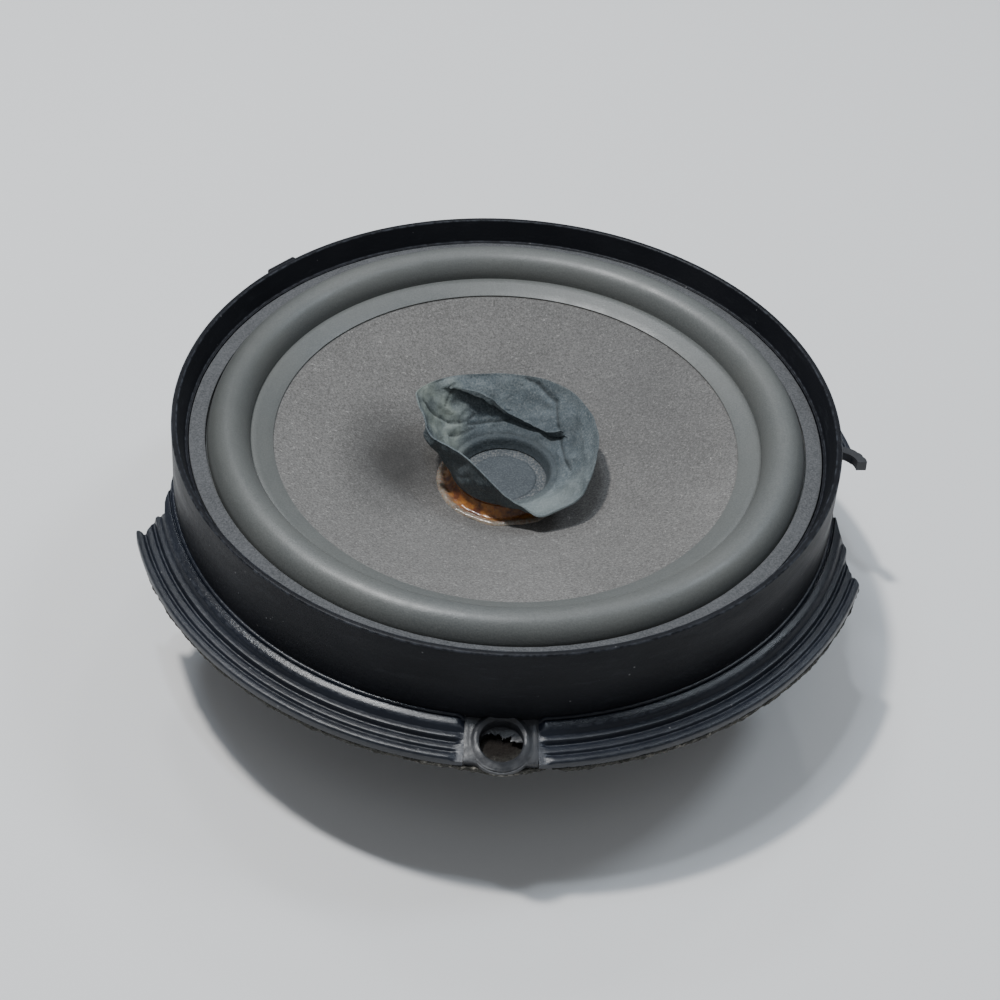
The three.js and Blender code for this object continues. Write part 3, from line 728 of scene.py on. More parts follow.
def braid():
    p = Paint("tinsel_braid")
    twist = p.node("ShaderNodeTexWave", wave_type="BANDS", bands_direction="DIAGONAL")
    p.feed(twist.inputs["Vector"], p.place)
    twist.inputs["Scale"].default_value = 700.0
    p.set(Base_Color=p.ramp(twist.outputs["Color"], (0.2, (0.2, 0.09, 0.04)), (0.8, (0.75, 0.45, 0.26))))
    p.set(Metallic=0.9)
    p.set(Roughness=0.45)
    p.set(Normal=p.bump(twist.outputs["Color"], 0.15, 1.0))
    return p.material


WALL_BLACKS = [(0.0065, 0.0072, 0.0098), (0.0115, 0.0123, 0.0155)]
FLANGE_BLACKS = [(0.005, 0.0072, 0.013), (0.01, 0.014, 0.024)]
BLACK = basket_plastic("wall_plastic", 0.14, 0.35, 0.55, *WALL_BLACKS)
FLANGE = basket_plastic("flange_plastic", 0.5, 0.18, 0.42, *FLANGE_BLACKS)
BOSS = boss_plastic()
RUBBER = rubber()
GASKET = gasket_paper()
CONE = cone_paper()
WHIZZER = whizzer_paper()
CAP = cap_paper()
GLUE = amber_glue()
FILM = film()
FOAM = foam_residue()
STEEL = metal("plated_steel", (0.56, 0.55, 0.5), (0.36, 0.35, 0.31), 0.28, 0.5)
BRASS = metal("terminal_brass", (0.72, 0.62, 0.42), (0.5, 0.4, 0.24), 0.25, 0.45, streaks=False)
FERRITE = ferrite()
CLOTH = cloth()
LAMINATE = laminate()
COPPER = winding()
BRAID = braid()

# ---- Basket ----

WALL_SECTION = rounded(
    [
        (RIM_INNER_R, RIM_Z, 0.4), (RIM_R, RIM_Z, 0.5), (WALL_FOOT_R, WALL_FOOT_Z, 0.0),
        (WALL_FOOT_R + 0.05, FLANGE_Z, 0.3), (80.0, FLANGE_Z, 0.5), (75.6, 35.5, 0.5),
        (75.6, 38.3, 0.5), (79.5, 39.9, 0.8), (79.9, LEDGE_Z - 2.2, 0.6),
        (ROLL_OUTER_R - 0.2, LEDGE_Z - 2.2, 0.3), (ROLL_OUTER_R - 0.2, LEDGE_Z, 0.2),
        (78.8, LEDGE_Z, 0.2), (78.8, LAND_Z - 0.1, 0.15), (79.5, LAND_Z - 0.05, 0.3),
    ]
)

RIDGES = rounded(
    [
        (RIDGE_FOOT_R, FLANGE_Z + 5.0, 0.0), (83.35, 42.45, 0.2), (83.75, 42.2, 0.15), (83.9, 41.55, 0.1),
        (84.1, 41.6, 0.1), (84.3, 42.35, 0.2), (86.0, 41.8, 0.5), (86.95, 40.35, 0.4),
        (87.2, 40.45, 0.15), (88.2, 40.4, 0.25), (88.6, 39.0, 0.3), (89.1, 39.05, 0.2),
        (89.4, 39.5, 0.15), (90.8, 39.43, 0.25), (91.15, 38.75, 0.25), (91.6, 38.8, 0.2),
        (91.95, 39.3, 0.15), (93.2, 39.22, 0.35), (FLANGE_R, 38.6, 0.2),
        (FLANGE_R + 0.05, 37.9, 0.0),
    ],
    closed=False,
    steps=2,
)

FRONT_LEFT_BREAK = [
    (RIDGE_FOOT_R, 184.0), (83.3, 186.5), (84.2, 189.8), (85.0, 191.0), (85.5, 192.2), (85.8, 194.9),
    (87.0, 194.6), (88.0, 194.5), (89.0, 195.2), (90.0, 196.0), (91.0, 197.0), (91.5, 197.2),
    (92.4, 196.4), (93.3, 196.3), (93.6, 198.0),
]
FRONT_RIGHT_BREAK = [
    (RIDGE_FOOT_R, 353.0), (84.7, 350.2), (85.3, 348.2), (86.2, 347.0), (87.3, 345.8), (88.0, 345.2),
    (88.6, 343.2), (89.2, 342.0), (90.3, 340.5), (91.5, 340.0), (92.5, 339.4), (93.6, 338.6),
]
REAR_LEFT_BREAK = [(RIDGE_FOOT_R, 152.0), (85.0, 150.5), (88.0, 151.5), (91.0, 149.5), (93.5, 149.0)]
TORN_HOLE = 6.2
PAD_HALF = 8.2


def pad_z(radius):
    """Height of the flat pad round a screw hole."""
    return BOSS_Z - 0.55 - BOSS_SLOPE * (radius - SCREW_R)


def pad_edge(middle, side):
    """The angle at which the pad beside a screw hole ends, as a function of radius."""

    def angle(radius):
        slant = 0.09 * (radius - SCREW_R)
        return middle + side * math.degrees(math.asin((PAD_HALF - 0.3 + slant) / radius))

    return angle


def into_pads(radius, degrees, z):
    """The ridges run out into the pads beside the screw holes."""
    for middle in (270, 90):
        apart = abs((degrees - middle + 180) % 360 - 180) * math.pi / 180 * radius
        share = smooth(1 - (apart - PAD_HALF + 0.1 - 0.3 * max(radius - 86.5, 0.0)) / 1.5)
        z += (min(pad_z(radius), 42.0) - 0.12 - z) * share
    spot = polar(radius, degrees, z)
    return z + 0.035 * rough(spot, 6.0, 31.0) + 0.008 * rough(spot, 1.4, 32.0)


def torn_hole_edge(radius):
    """The far side of the torn hole's bore, and the broken lip beyond it."""
    apart = radius - SCREW_R
    jag = 0.25 * rough((radius * 2.5, 0, 5), 1.0, 7.0)
    if abs(apart) < HOLE_R - 0.4:
        cosine = (radius**2 + SCREW_R**2 - HOLE_R**2) / (2 * radius * SCREW_R)
        return TORN_HOLE + math.degrees(math.acos(cosine)) + jag * 0.3
    return TORN_HOLE + (1.2 if apart < 0 else 2.2) + jag


def broken(table, seed):
    def angle(radius):
        jag = rough((radius * 1.6, 0, 0), 1.0, seed) + 0.5 * rough((radius * 5, 0, 0), 1.0, seed + 9)
        return between(radius, table) + 0.22 * jag

    return angle


def screw_pad(name, degrees):
    """A flat pad with a raised collar round a screw hole, and the lip's bulge outside it."""
    count = 96
    points, wear = [], []
    inner_u = RIDGE_FOOT_R - SCREW_R

    def boundary(angle):
        c, s = math.cos(angle), math.sin(angle)
        reach = BOSS_R + 0.8
        side = PAD_HALF / max(abs(s), 1e-6)
        if c < 0:
            return min(side, inner_u / c)
        lip = FLANGE_R - 0.15
        # the ray leaves the lip's circle where |centre + t * direction| = lip
        to_lip = -SCREW_R * c + math.sqrt(max((SCREW_R * c) ** 2 + lip**2 - SCREW_R**2, 0.0))
        return max(reach, min(side, to_lip))

    def ring_points(angle):
        edge = boundary(angle)
        u_of = lambda r: r * math.cos(angle)
        top = lambda r: BOSS_Z - BOSS_SLOPE * u_of(r)
        pad = lambda r: min(top(r) - 0.55, 42.0)
        rings = [
            (HOLE_R, FLANGE_Z, 0.0), (HOLE_R, top(HOLE_R) - 0.5, 0.3),
            (HOLE_R + 0.12, top(HOLE_R) - 0.2, 0.8), (HOLE_R + 0.45, top(HOLE_R), 0.9),
            (BOSS_R - 0.75, top(BOSS_R) + 0.02, 0.5), (BOSS_R - 0.3, top(BOSS_R) - 0.12, 0.6),
            (BOSS_R + 0.05, top(BOSS_R) - 0.38, 0.3), (BOSS_R + 0.5, pad(BOSS_R), 0.0),
            (edge - 1.0, pad(edge - 1.0), 0.0), (edge - 0.3, pad(edge) - 0.04, 0.0),
            (edge, pad(edge) - 0.14, 0.0), (edge, FLANGE_Z + 0.2, 0.2), (edge - 0.2, FLANGE_Z, 0.0),
        ]
        return [(min(r, edge), z, worn) for r, z, worn in rings]

    for i in range(count):
        angle = 2 * math.pi * i / count
        for r, z, worn in ring_points(angle):
            local = Vector((SCREW_R + r * math.cos(angle), r * math.sin(angle), z))
            if z > FLANGE_Z + 1:
                local.z += 0.12 * rough(local, 2.2, 4.0) + 0.05 * rough(local, 0.8, 5.0)
            points.append(Matrix.Rotation(math.radians(degrees), 3, "Z") @ local)
            wear.append(worn)
    return new_object(name, points, quads(count, len(points) // count), BOSS, wear)


def bore_flash():
    """A ragged skin of plastic left across the inner side of the front screw hole."""
    steps, rows, level, thickness = 40, 6, 39.3, 0.25
    points = []
    for i in range(steps + 1):
        share = i / steps
        angle = math.radians(8 + 150 * share)
        ragged = 0.6 + 0.4 * rough((i * 0.22, 3.0, 0.0), 1.0, 51.0)
        ragged += 0.2 * rough((i * 0.6, 1.0, 0.0), 1.0, 52.0)
        reach = (0.3 + 4.2 * ragged * (1.25 - share)) * math.sin(math.pi * share) ** 0.5
        for k in range(rows):
            inwards = reach * k / (rows - 1)
            out = HOLE_R + 0.1 - inwards
            z = level - 0.28 * inwards + 0.12 * rough((out * 2, i * 0.6, 0), 1.0, 53.0)
            x, y = out * math.cos(angle), out * math.sin(angle) - SCREW_R
            points += [Vector((x, y, z)), Vector((x, y, z - thickness))]
    faces = sheet_faces(steps + 1, rows)
    return new_object("bore_flash", points, faces, BOSS, [0.9] * len(points))


def torn_collar():
    """What is left of the collar round the torn hole."""
    points = []
    steps = 24
    for i in range(steps + 1):
        angle = math.radians(-58 + 150 * i / steps)
        outer = BOSS_R + 0.9 - 0.5 * abs(rough((i * 1.3, 0, 0), 2.0, 7.0))
        for r, z in ((HOLE_R, 37.5), (HOLE_R, 40.3), (outer, 40.4), (outer + 0.2, 37.5)):
            slope = 0 if z < 38 else BOSS_SLOPE * r * math.cos(angle)
            # the collar's own angle is counted from the way round the speaker
            local = Vector((SCREW_R + r * math.sin(angle), r * math.cos(angle), z - slope * 0.4))
            points.append(Matrix.Rotation(math.radians(TORN_HOLE), 3, "Z") @ local)
    faces = quads(steps + 1, 4, around=False)
    faces += [(0, 1, 2, 3), tuple(steps * 4 + k for k in range(4))]
    return new_object("torn_collar", points, faces, BOSS, [0.6] * len(points))


def wobble(point, degrees):
    """A moulding's slight unevenness."""
    away = 0.10 * math.sin(math.radians(3 * degrees + 40)) + 0.05 * rough(point, 9.0, 2.0)
    direction = Vector((point.x, point.y, 0)).normalized()
    return point + direction * away * smooth((point.z - 40) / 15)


def rim_tab():
    """A small lug on the outside of the rim at the back left."""
    low_z, high_z = RIM_Z - 9, RIM_Z - 0.5
    half, inner, outer = 4.6, 81.9, 83.95
    foot = [(inner, -half - 1), (outer - 0.9, -half - 1), (outer - 0.9, half + 1), (inner, half + 1)]
    head = [(inner, -half), (outer, -half), (outer, half), (inner, half)]
    corners = [(x, y, low_z) for x, y in foot] + [(x, y, high_z) for x, y in head]
    turn = Matrix.Rotation(math.radians(137.5), 3, "Z")
    return bevelled("rim_tab", [turn @ Vector(c) for c in corners], 0.5, BLACK)


def spoke(index):
    """A spoke of the bowl, with the rib under it."""
    turn = Matrix.Rotation(2 * math.pi * index / SPOKES, 3, "Z")
    rise = (FLANGE_Z - BASE_Z - 1) / 34

    def run(half_width, inner, outer, drop_low, drop_high):
        z_low = lambda r: BASE_Z + 1 + rise * (r - 46) + drop_low
        z_high = lambda r: BASE_Z + 1 + rise * (r - 46) + drop_high
        foot = [(inner, -1), (outer, -1), (outer, 1), (inner, 1)]
        corners = [(r, s * half_width, z_low(r)) for r, s in foot]
        corners += [(r, s * half_width, z_high(r)) for r, s in foot]
        return [turn @ Vector(c) for c in corners]

    web = bevelled(f"spoke_{index}", run(4.0, 43.0, 77.5, 0.0, 2.8), 0.7, BLACK)
    rib = bevelled(f"rib_{index}", run(1.2, 45.5, 79.0, -1.25, 0.6), 0.4, BLACK)
    return [web, rib]


def base_ring():
    floor = BASE_Z + 2.6
    section = rounded(
        [
            (19, BASE_Z, 0.4), (44, BASE_Z, 0.8), (46.5, BASE_Z + 1.2, 0.5),
            (44.5, BASE_Z + 3.6, 0.8), (42, floor, 0.5), (SEAT_R + 0.4, floor, 0.6),
            (SEAT_R, SEAT_Z, 0.4), (SEAT_R - 5.5, SEAT_Z, 0.4), (SEAT_R - 5.9, floor, 0.6),
            (19, floor, 0.4),
        ]
    )
    return lathe("base_ring", section, BLACK, 192)


def terminal_lug():
    top = BASE_Z + 2.6
    foot = [(-9, 40), (9, 40), (9, 55), (-9, 55)]
    corners = [(x, y, BASE_Z) for x, y in foot] + [(x, y, top) for x, y in foot]
    return bevelled("terminal_lug", corners, 0.5, BLACK)


def make_basket():
    flange = [
        ("flange_a", broken(FRONT_LEFT_BREAK, 1.0), pad_edge(270, -1), 200),
        ("flange_b", pad_edge(270, 1), broken(FRONT_RIGHT_BREAK, 2.0), 200),
        ("flange_c", torn_hole_edge, pad_edge(90, -1), 200),
        ("flange_d", pad_edge(90, 1), broken(REAR_LEFT_BREAK, 3.0), 150),
    ]
    pieces = [lathe("wall", WALL_SECTION, BLACK, 480, shift=wobble)]
    top = finer(RIDGES, 0.5)
    pieces += [slab(n, top, FLANGE_Z, a, b, c, FLANGE, into_pads) for n, a, b, c in flange]
    pieces += [rim_tab(), base_ring(), terminal_lug()]
    for index in range(SPOKES):
        pieces += spoke(index)
    basket = join("basket_moulding", pieces)
    place(basket, "basket", "frame")
    pads = [screw_pad("pad_front", 270), screw_pad("pad_rear", 90)]
    bosses = join("screw_bosses", pads + [bore_flash(), torn_collar()])
    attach(bosses, "frame")


make_basket()

# ---- Gasket ring, surround and spider ----


def make_gasket():
    bottom = low("gasket_ring").z
    section = rounded(
        [
            (ROLL_OUTER_R + 0.45, bottom, 0.1), (GASKET_R, bottom, 0.1), (GASKET_R, LAND_Z, 0.25),
            (ROLL_OUTER_R + 0.3, LAND_Z, 0.3),
        ]
    )
    ring = lathe("gasket_ring_felt", section, GASKET, 480, shift=ripple(0.09, 3.5, 5.0))
    place(ring, "gasket_ring", "frame")


def blend_by_radius(piece):
    """Bakes the piece's placement into its points."""
    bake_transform(piece)


def make_surround():
    foot_z = LEDGE_Z + 0.8
    middle = (ROLL_OUTER_R + ROLL_INNER_R) / 2
    half = (ROLL_OUTER_R - ROLL_INNER_R) / 2

    def roll(inset, steps):
        run = []
        for i in range(steps + 1):
            angle = math.pi * i / steps
            r = middle + (half - inset) * math.cos(angle)
            run.append((r, foot_z + (CREST_Z - foot_z - inset) * math.sin(angle), 0))
        return run

    front = [(LIP_R, foot_z, 0), *roll(0, 26), (ROLL_INNER_R - 0.5, foot_z + 0.28, 0)]
    front += [(62.0, 54.45, 0), (60.0, 53.8, 0), (LAP_R + 0.25, 53.15, 0), (LAP_R, 53.0, 0)]
    back = [(LAP_R, 52.78, 0), (ROLL_INNER_R, foot_z - 0.2, 0), *roll(0.5, 20)[::-1]]
    back += [(ROLL_OUTER_R - 0.5, foot_z - 0.5, 0), (LIP_R, foot_z - 0.5, 0)]
    section = front + back

    def uneven(point, degrees):
        radius = math.hypot(point.x, point.y)
        on_roll = math.exp(-(((radius - middle) / 4.0) ** 2))
        return point + Vector((0, 0, 0.12 * on_roll * rough(point, 14.0, 6.0)))

    piece = lathe("surround_roll", section, RUBBER, 384, shift=uneven, sharp=50)
    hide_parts("surround")
    blend_by_radius(piece)


def make_spider():
    inner = FORMER_R + 0.3
    start, end = inner + 1.5, SEAT_R - 5.5
    seat = SEAT_Z + 0.3
    waves, steps = 5, 80
    front = [(inner, seat + 0.4, 0)]
    for i in range(steps + 1):
        share = i / steps
        wave = 0.85 * math.sin(2 * math.pi * waves * share)
        front.append((start + (end - start) * share, seat + 0.4 + wave, 0))
    front.append((SEAT_R - 0.3, seat + 0.4, 0))
    section = front + [(r, z - 0.4, 0) for r, z, _ in front[::-1]]
    piece = lathe("spider_disc", section, CLOTH, 192, sharp=60)
    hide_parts("spider")
    blend_by_radius(piece)


make_gasket()
make_surround()
make_spider()

# ---- Cone, glue, former, dust cap ----

NECK_R = 14.0
NECK_Z = 36.5


def cone_z(radius):
    """Height of the cone's front face."""
    if radius > LAP_R:
        return 52.6 + (54.15 - 52.6) * (radius - LAP_R) / (CONE_EDGE_R - LAP_R)
    share = (radius - NECK_R) / (LAP_R - NECK_R)
    return NECK_Z + (52.6 - NECK_Z) * share - 0.6 * math.sin(math.pi * share)


def make_cone():
    radii = [13.4 + (CONE_EDGE_R - 13.4) * i / 48 for i in range(49)]
    front = [(r, cone_z(r), 0) for r in radii]
    back = [(r, cone_z(r) - 0.8, 0) for r in radii[::-1]]

    def uneven(point, degrees):
        radius = math.hypot(point.x, point.y)
        fade = smooth((LAP_R - radius) / 8)
        lift = 0.10 * rough(point, 18, 1.0) + 0.03 * rough(point, 3.0, 3.0)
        return point + Vector((0, 0, fade * lift))

    piece = lathe("cone_paper_body", front + back, CONE, 288, shift=uneven)
    place(piece, "cone", "diaphragm")


def make_glue():
    """A fillet of set glue round the neck: amber near the former, clear and pale at its outer edge."""
    section = [
        (FORMER_R + 0.05, cone_z(13.4) + 0.1, 0.0), (14.5, cone_z(14.5) + 0.05, 0.0),
        (GLUE_R, cone_z(GLUE_R) + 0.02, 1.0), (GLUE_R - 0.25, cone_z(GLUE_R) + 0.4, 1.0),
        (GLUE_R - 0.8, cone_z(GLUE_R) + 0.62, 1.0), (GLUE_R - 1.3, cone_z(GLUE_R) + 0.5, 0.9),
        (15.0, cone_z(15.0) + 0.65, 0.35), (14.4, cone_z(14.4) + 1.0, 0.0),
        (13.8, cone_z(13.8) + 1.7, 0.0), (13.3, cone_z(13.3) + 2.8, 0.0),
        (FORMER_R + 0.2, cone_z(13.4) + 3.9, 0.0),
    ]

    def lumpy(point, degrees):
        radius = math.hypot(point.x, point.y)
        out = smooth((radius - FORMER_R) / 3)
        way = Vector((point.x, point.y, 0)).normalized()
        lump = rough(way * 14, 5.0, 8.0) * 0.55 + rough(way * 14, 1.6, 9.0) * 0.2
        return point + way * lump * out + Vector((0, 0, 0.25 * out * rough(point, 1.8, 3.0)))

    piece = lathe("glue_fillet", section, GLUE, 240, shift=lumpy, sharp=70)
    place(piece, "glue_ring", "diaphragm")


def make_former():
    bottom = low("voice_coil_former").z
    section = rounded(
        [
            (FORMER_R - 0.25, bottom, 0.05), (FORMER_R, bottom, 0.05), (FORMER_R, FORMER_Z, 0.1),
            (FORMER_R - 0.25, FORMER_Z, 0.1),
        ]
    )
    piece = lathe("former_tube", section, FILM, 192)
    place(piece, "voice_coil_former", "diaphragm")


def make_dust_cap():
    section = rounded(
        [
            (0.0, CAP_Z, 0.0), (8.1, CAP_Z - 0.05, 0.4), (8.5, CAP_Z - 0.4, 0.25),
            (9.0, CAP_Z - 0.3, 0.25), (10.9, CAP_Z - 0.15, 0.3), (CAP_R + 0.2, CAP_Z - 0.4, 0.3),
            (CAP_R + 0.2, CAP_Z - 1.8, 0.1), (11.4, CAP_Z - 1.8, 0.1), (11.2, CAP_Z - 1.3, 0.2),
            (9.7, CAP_Z - 1.3, 0.2), (9.2, CAP_Z - 0.7, 0.2), (0.0, CAP_Z - 0.6, 0.0),
        ],
        closed=False,
    )
    specked = []
    for r, z, _ in finer(section, 0.4):
        on_ring = 8.4 < r < 11.2 and z > CAP_Z - 0.5
        specked.append((r, z, 0.75 if on_ring else 0.0))
    shift = ripple(0.08, 4.0, 11.0)
    piece = lathe("dust_cap_disc", specked, CAP, 144, closed=False, shift=shift)
    place(piece, "dust_cap", "diaphragm")


make_cone()
make_glue()
make_former()
make_dust_cap()

# ---- Whizzer cone ----

WHIZZER_NECK_R = 13.3
WHIZZER_NECK_Z = 41.6
WHIZZER_RIM = [
    (23.0, -0.5, 53.0), (22.3, 5.5, 53.1), (21.2, 10.0, 53.2), (16.8, 17.4, 53.4),
    (11.1, 21.4, 53.5), (7.2, 22.6, 53.6), (3.3, 23.2, 53.6), (-1.9, 23.2, 53.8),
    (-7.1, 21.9, 54.3), (-12.2, 20.3, 55.0), (-16.1, 18.2, 55.5), (-19.8, 14.7, 56.5),
    (-22.4, 9.8, 58.2), (-22.8, 6.0, 58.9), (-20.6, 0.6, 57.0), (-18.9, -2.9, 54.8),
    (-16.6, -4.2, 53.7), (-14.0, -5.9, 53.5), (-11.5, -8.1, 53.6), (-9.2, -10.6, 53.5),
    (-6.4, -12.6, 52.0), (-1.3, -15.8, 48.5), (1.8, -17.0, 46.5), (4.8, -18.3, 45.5),
    (8.3, -19.9, 44.5), (12.4, -19.2, 45.5), (17.8, -17.1, 47.5), (20.4, -13.1, 50.0),
    (22.1, -7.0, 52.0),
]
# Inside the former the paper runs on down to the dust cap: (radius, z) from the cap up.
WHIZZER_LINING = [
    (10.95, 38.75), (11.25, 39.3), (11.5, 40.0), (11.75, 40.8), (12.0, 41.35), (12.4, 41.65),
    (12.9, 41.7),
]


def loop_point(points, t):
    """A point on the closed smooth curve through the points, t from 0 to 1."""
    count = len(points)
    along = (t % 1.0) * count
    i = int(along)
    u = along - i
    a, b, c, d = (Vector(points[(i + k) % count]) for k in (-1, 0, 1, 2))
    squared = (2 * a - 5 * b + 4 * c - d) * u**2
    cubed = (3 * b - a - 3 * c + d) * u**3
    return 0.5 * (2 * b + (c - a) * u + squared + cubed)


def turn_between(degrees, low_angle, high_angle, soft):
    """1 inside a range of angles, falling to 0 over soft degrees outside it."""
    middle, half = (low_angle + high_angle) / 2, (high_angle - low_angle) / 2
    apart = abs((degrees - middle + 180) % 360 - 180)
    return smooth(1 - (apart - half) / soft)


# The main fold runs from the rim at the back left down to the neck at the right:
# (degrees, share of the way out from the neck to the rim).
MAIN_FOLD = [
    (10, 0.5), (30, 0.48), (40, 0.45), (50, 0.42), (60, 0.42), (70, 0.44), (80, 0.49), (90, 0.56),
    (100, 0.70), (110, 0.82), (120, 0.885), (130, 0.92), (150, 0.88), (190, 0.5),
]


def fold_share(degrees):
    return between(degrees % 360, MAIN_FOLD), turn_between(degrees, 45, 118, 22)


# Small creases as (from x, y, to x, y, depth, width), in plan. Depth is positive for a ridge.
CREASES = [
    (-13.4, 17.8, -14.5, 16.7, -0.2, 0.3), (-14.5, 16.7, -15.9, 13.3, -0.25, 0.3),
    (-16.4, 10.5, -14.3, 11.0, -0.4, 0.35), (-14.3, 11.0, -11.8, 12.5, -0.5, 0.35),
    (-11.8, 12.5, -8.0, 15.4, -0.35, 0.35), (-9.6, 13.2, -3.9, 15.3, -0.4, 0.35),
    (-3.9, 15.3, 1.3, 16.3, -0.25, 0.35), (-14.3, 7.8, -7.6, 13.4, -0.4, 0.35),
    (-21.1, 8.4, -19.6, 8.6, -0.4, 0.4), (-19.6, 8.6, -16.6, 10.1, -0.5, 0.4),
    (-19.2, -1.4, -17.6, -2.9, -1.2, 0.6), (-15.0, 9.0, -9.5, 14.5, 0.4, 0.6),
    (-17.5, 12.5, -12.0, 14.0, 0.4, 0.9), (5.2, 22.6, 8.5, 21.3, -0.35, 0.5),
    (8.5, 21.3, 12.9, 17.0, -0.5, 0.55), (12.9, 17.0, 13.5, 11.3, -0.45, 0.5),
    (13.5, 11.3, 14.2, 8.7, -0.3, 0.45), (14.2, 8.7, 16.6, -2.7, -0.3, 0.45),
    (20.0, 12.5, 17.0, 1.0, 0.4, 1.2), (-10.0, 19.0, -3.0, 19.5, 0.35, 1.2),
    (4.0, -15.0, 17.0, -9.0, 0.45, 1.3),
]


def segment_distance(x, y, x0, y0, x1, y1):
    dx, dy = x1 - x0, y1 - y0
    t = ((x - x0) * dx + (y - y0) * dy) / (dx * dx + dy * dy)
    t = min(max(t, 0.0), 1.0)
    return math.hypot(x - x0 - t * dx, y - y0 - t * dy)


def make_whizzer():
    around, across, below = 400, 84, 34
    push, drop, sag, thickness = 3.0, 0.8, 1.2, 0.4
    grid = []
    for i in range(around):
        outer = loop_point(WHIZZER_RIM, i / around)
        degrees = math.degrees(math.atan2(outer.y, outer.x))
        inner = polar(WHIZZER_NECK_R, degrees, WHIZZER_NECK_Z)
        way = Vector((-outer.x, -outer.y, 0)).normalized()
        fold, strength = fold_share(degrees)
        column = [polar(r, degrees, z) for r, z in WHIZZER_LINING]
        for j in range(across + 1):
            if j <= below:
                s = fold * j / below
                near = math.exp(-(fold - s) / 0.035)
            else:
                s = fold + (1 - fold) * (j - below) / (across - below)
                near = smooth((1 - s) / (1 - fold))
            point = inner.lerp(outer, s)
            point.z -= sag * math.sin(math.pi * s)
            point += way * push * strength * near
            point.z -= drop * strength * near * (1 if j > below else 0.6)
            column.append(point)
        grid.append(column)
    lining = len(WHIZZER_LINING)
    last = lining + across
    normal_at = []
    for i in range(around):
        row = []
        for j in range(last + 1):
            along = grid[(i + 1) % around][j] - grid[i - 1][j]
            out = grid[i][min(j + 1, last)] - grid[i][max(j - 1, 0)]
            row.append(out.cross(along).normalized())
        normal_at.append(row)
    points, faces, wear, shade = [], [], [], []
    for i in range(around):
        for j in range(last + 1):
            p = grid[i][j]
            lift = 0.0
            # painted shade: darker deep in the neck's lining and along the sunken creases
            dark = 0.55 * smooth((lining + 6 - j) / 6)
            for *line, depth, width in CREASES:
                share = math.exp(-((segment_distance(p.x, p.y, *line) / width) ** 2))
                lift += depth * share
                if depth < 0:
                    dark = max(dark, 0.75 * share**3)
            free = smooth((j - lining) / 12) * (1 - 0.6 * smooth((j - last + 14) / 14))
            crumple = abs(rough(p, 5.0, 15.0)) - 0.25
            lift += 0.5 * rough(p, 6.5, 13.0) + 0.2 * rough(p, 2.6, 14.0) - 0.7 * crumple
            points.append(p + normal_at[i][j] * lift * free)
            shade.append(dark)
            edge = 0.2 if j >= last - 1 else 0.0
            degrees = math.degrees(math.atan2(p.y, p.x))
            on_fold = j in (lining + below, lining + below + 1) and 25 < degrees < 135
            wear.append(0.4 if on_fold else edge)
    rows = last + 1
    front_count = len(points)
    for i in range(around):
        for j in range(rows):
            points.append(points[i * rows + j] - normal_at[i][j] * thickness)
            wear.append(wear[i * rows + j])
            # painted shade: the sheet's underside darker
            shade.append(0.3)
    for i in range(around):
        n = (i + 1) % around
        for j in range(last):
            quad = (i * rows + j, i * rows + j + 1, n * rows + j + 1, n * rows + j)
            faces.append(quad)
            faces.append(tuple(front_count + k for k in quad[::-1]))
        for j in (0, last):
            a, b = i * rows + j, n * rows + j
            faces.append((a, b, b + front_count, a + front_count))
    piece = new_object("whizzer_cone_crushed", points, faces, WHIZZER, wear, sharp=60, shade=shade)
    place(piece, "whizzer_cone", "diaphragm")


make_whizzer()

# ---- Foam left under the flange ----


def make_foam(node, start, end, inner, outer, full, extra=None):
    """A torn strip: its outer edge frays past the flange's lip and its thickness comes and goes."""
    top = FOAM_Z + 0.25
    steps = int((end - start) * 5)
    points = []
    rows = 9
    for i in range(steps + 1):
        degrees = start + (end - start) * i / steps
        spot = polar(90, degrees)
        fade = smooth(min(i, steps - i) / 12)
        depth = (full + 0.3 * rough(spot, 9.0, 21.0) + 0.22 * rough(spot, 2.2, 22.0)) * fade + 0.1
        reach = outer + (0.25 * rough(spot, 5.0, 23.0) + 0.2 * rough(spot, 1.3, 24.0)) * fade
        by_boss = math.exp(-(((degrees - 270) / 3.6) ** 2))
        reach += 1.25 * by_boss
        at_boss = smooth((degrees - 262) / 2) * smooth((278 - degrees) / 2)
        inside = inner + (outer - 0.4 - inner) * at_boss
        base = min(max(depth, 0.15), 1.5)
        section = [
            (inside, top), (inside + 0.3, top - base * 0.8), ((inside + reach) / 2, top - base),
            (max(reach - 1.2, (inside + reach) / 2 + 0.1), top - base),
            (reach - 0.2, top - base * 0.95), (reach, top - base * 0.5), (reach - 0.1, top - 0.02),
            (max(reach - 1.6, (inside + reach) / 2 + 0.1), top), ((inside + reach) / 2, top),
        ]
        for r, z in section:
            point = polar(r, degrees, z)
            if z < top - 0.05:
                point += Vector([rough(point, 0.9, seed) for seed in (1.0, 2.0, 3.0)]) * 0.22
            points.append(point)
    faces = quads(steps + 1, rows, around=False)
    faces += [tuple(range(rows)), tuple(steps * rows + k for k in range(rows))]
    piece = new_object(node + "_torn", points, faces, FOAM, sharp=80)
    if extra:
        piece = join(node + "_torn", [piece, extra])
    place(piece, node, "frame")


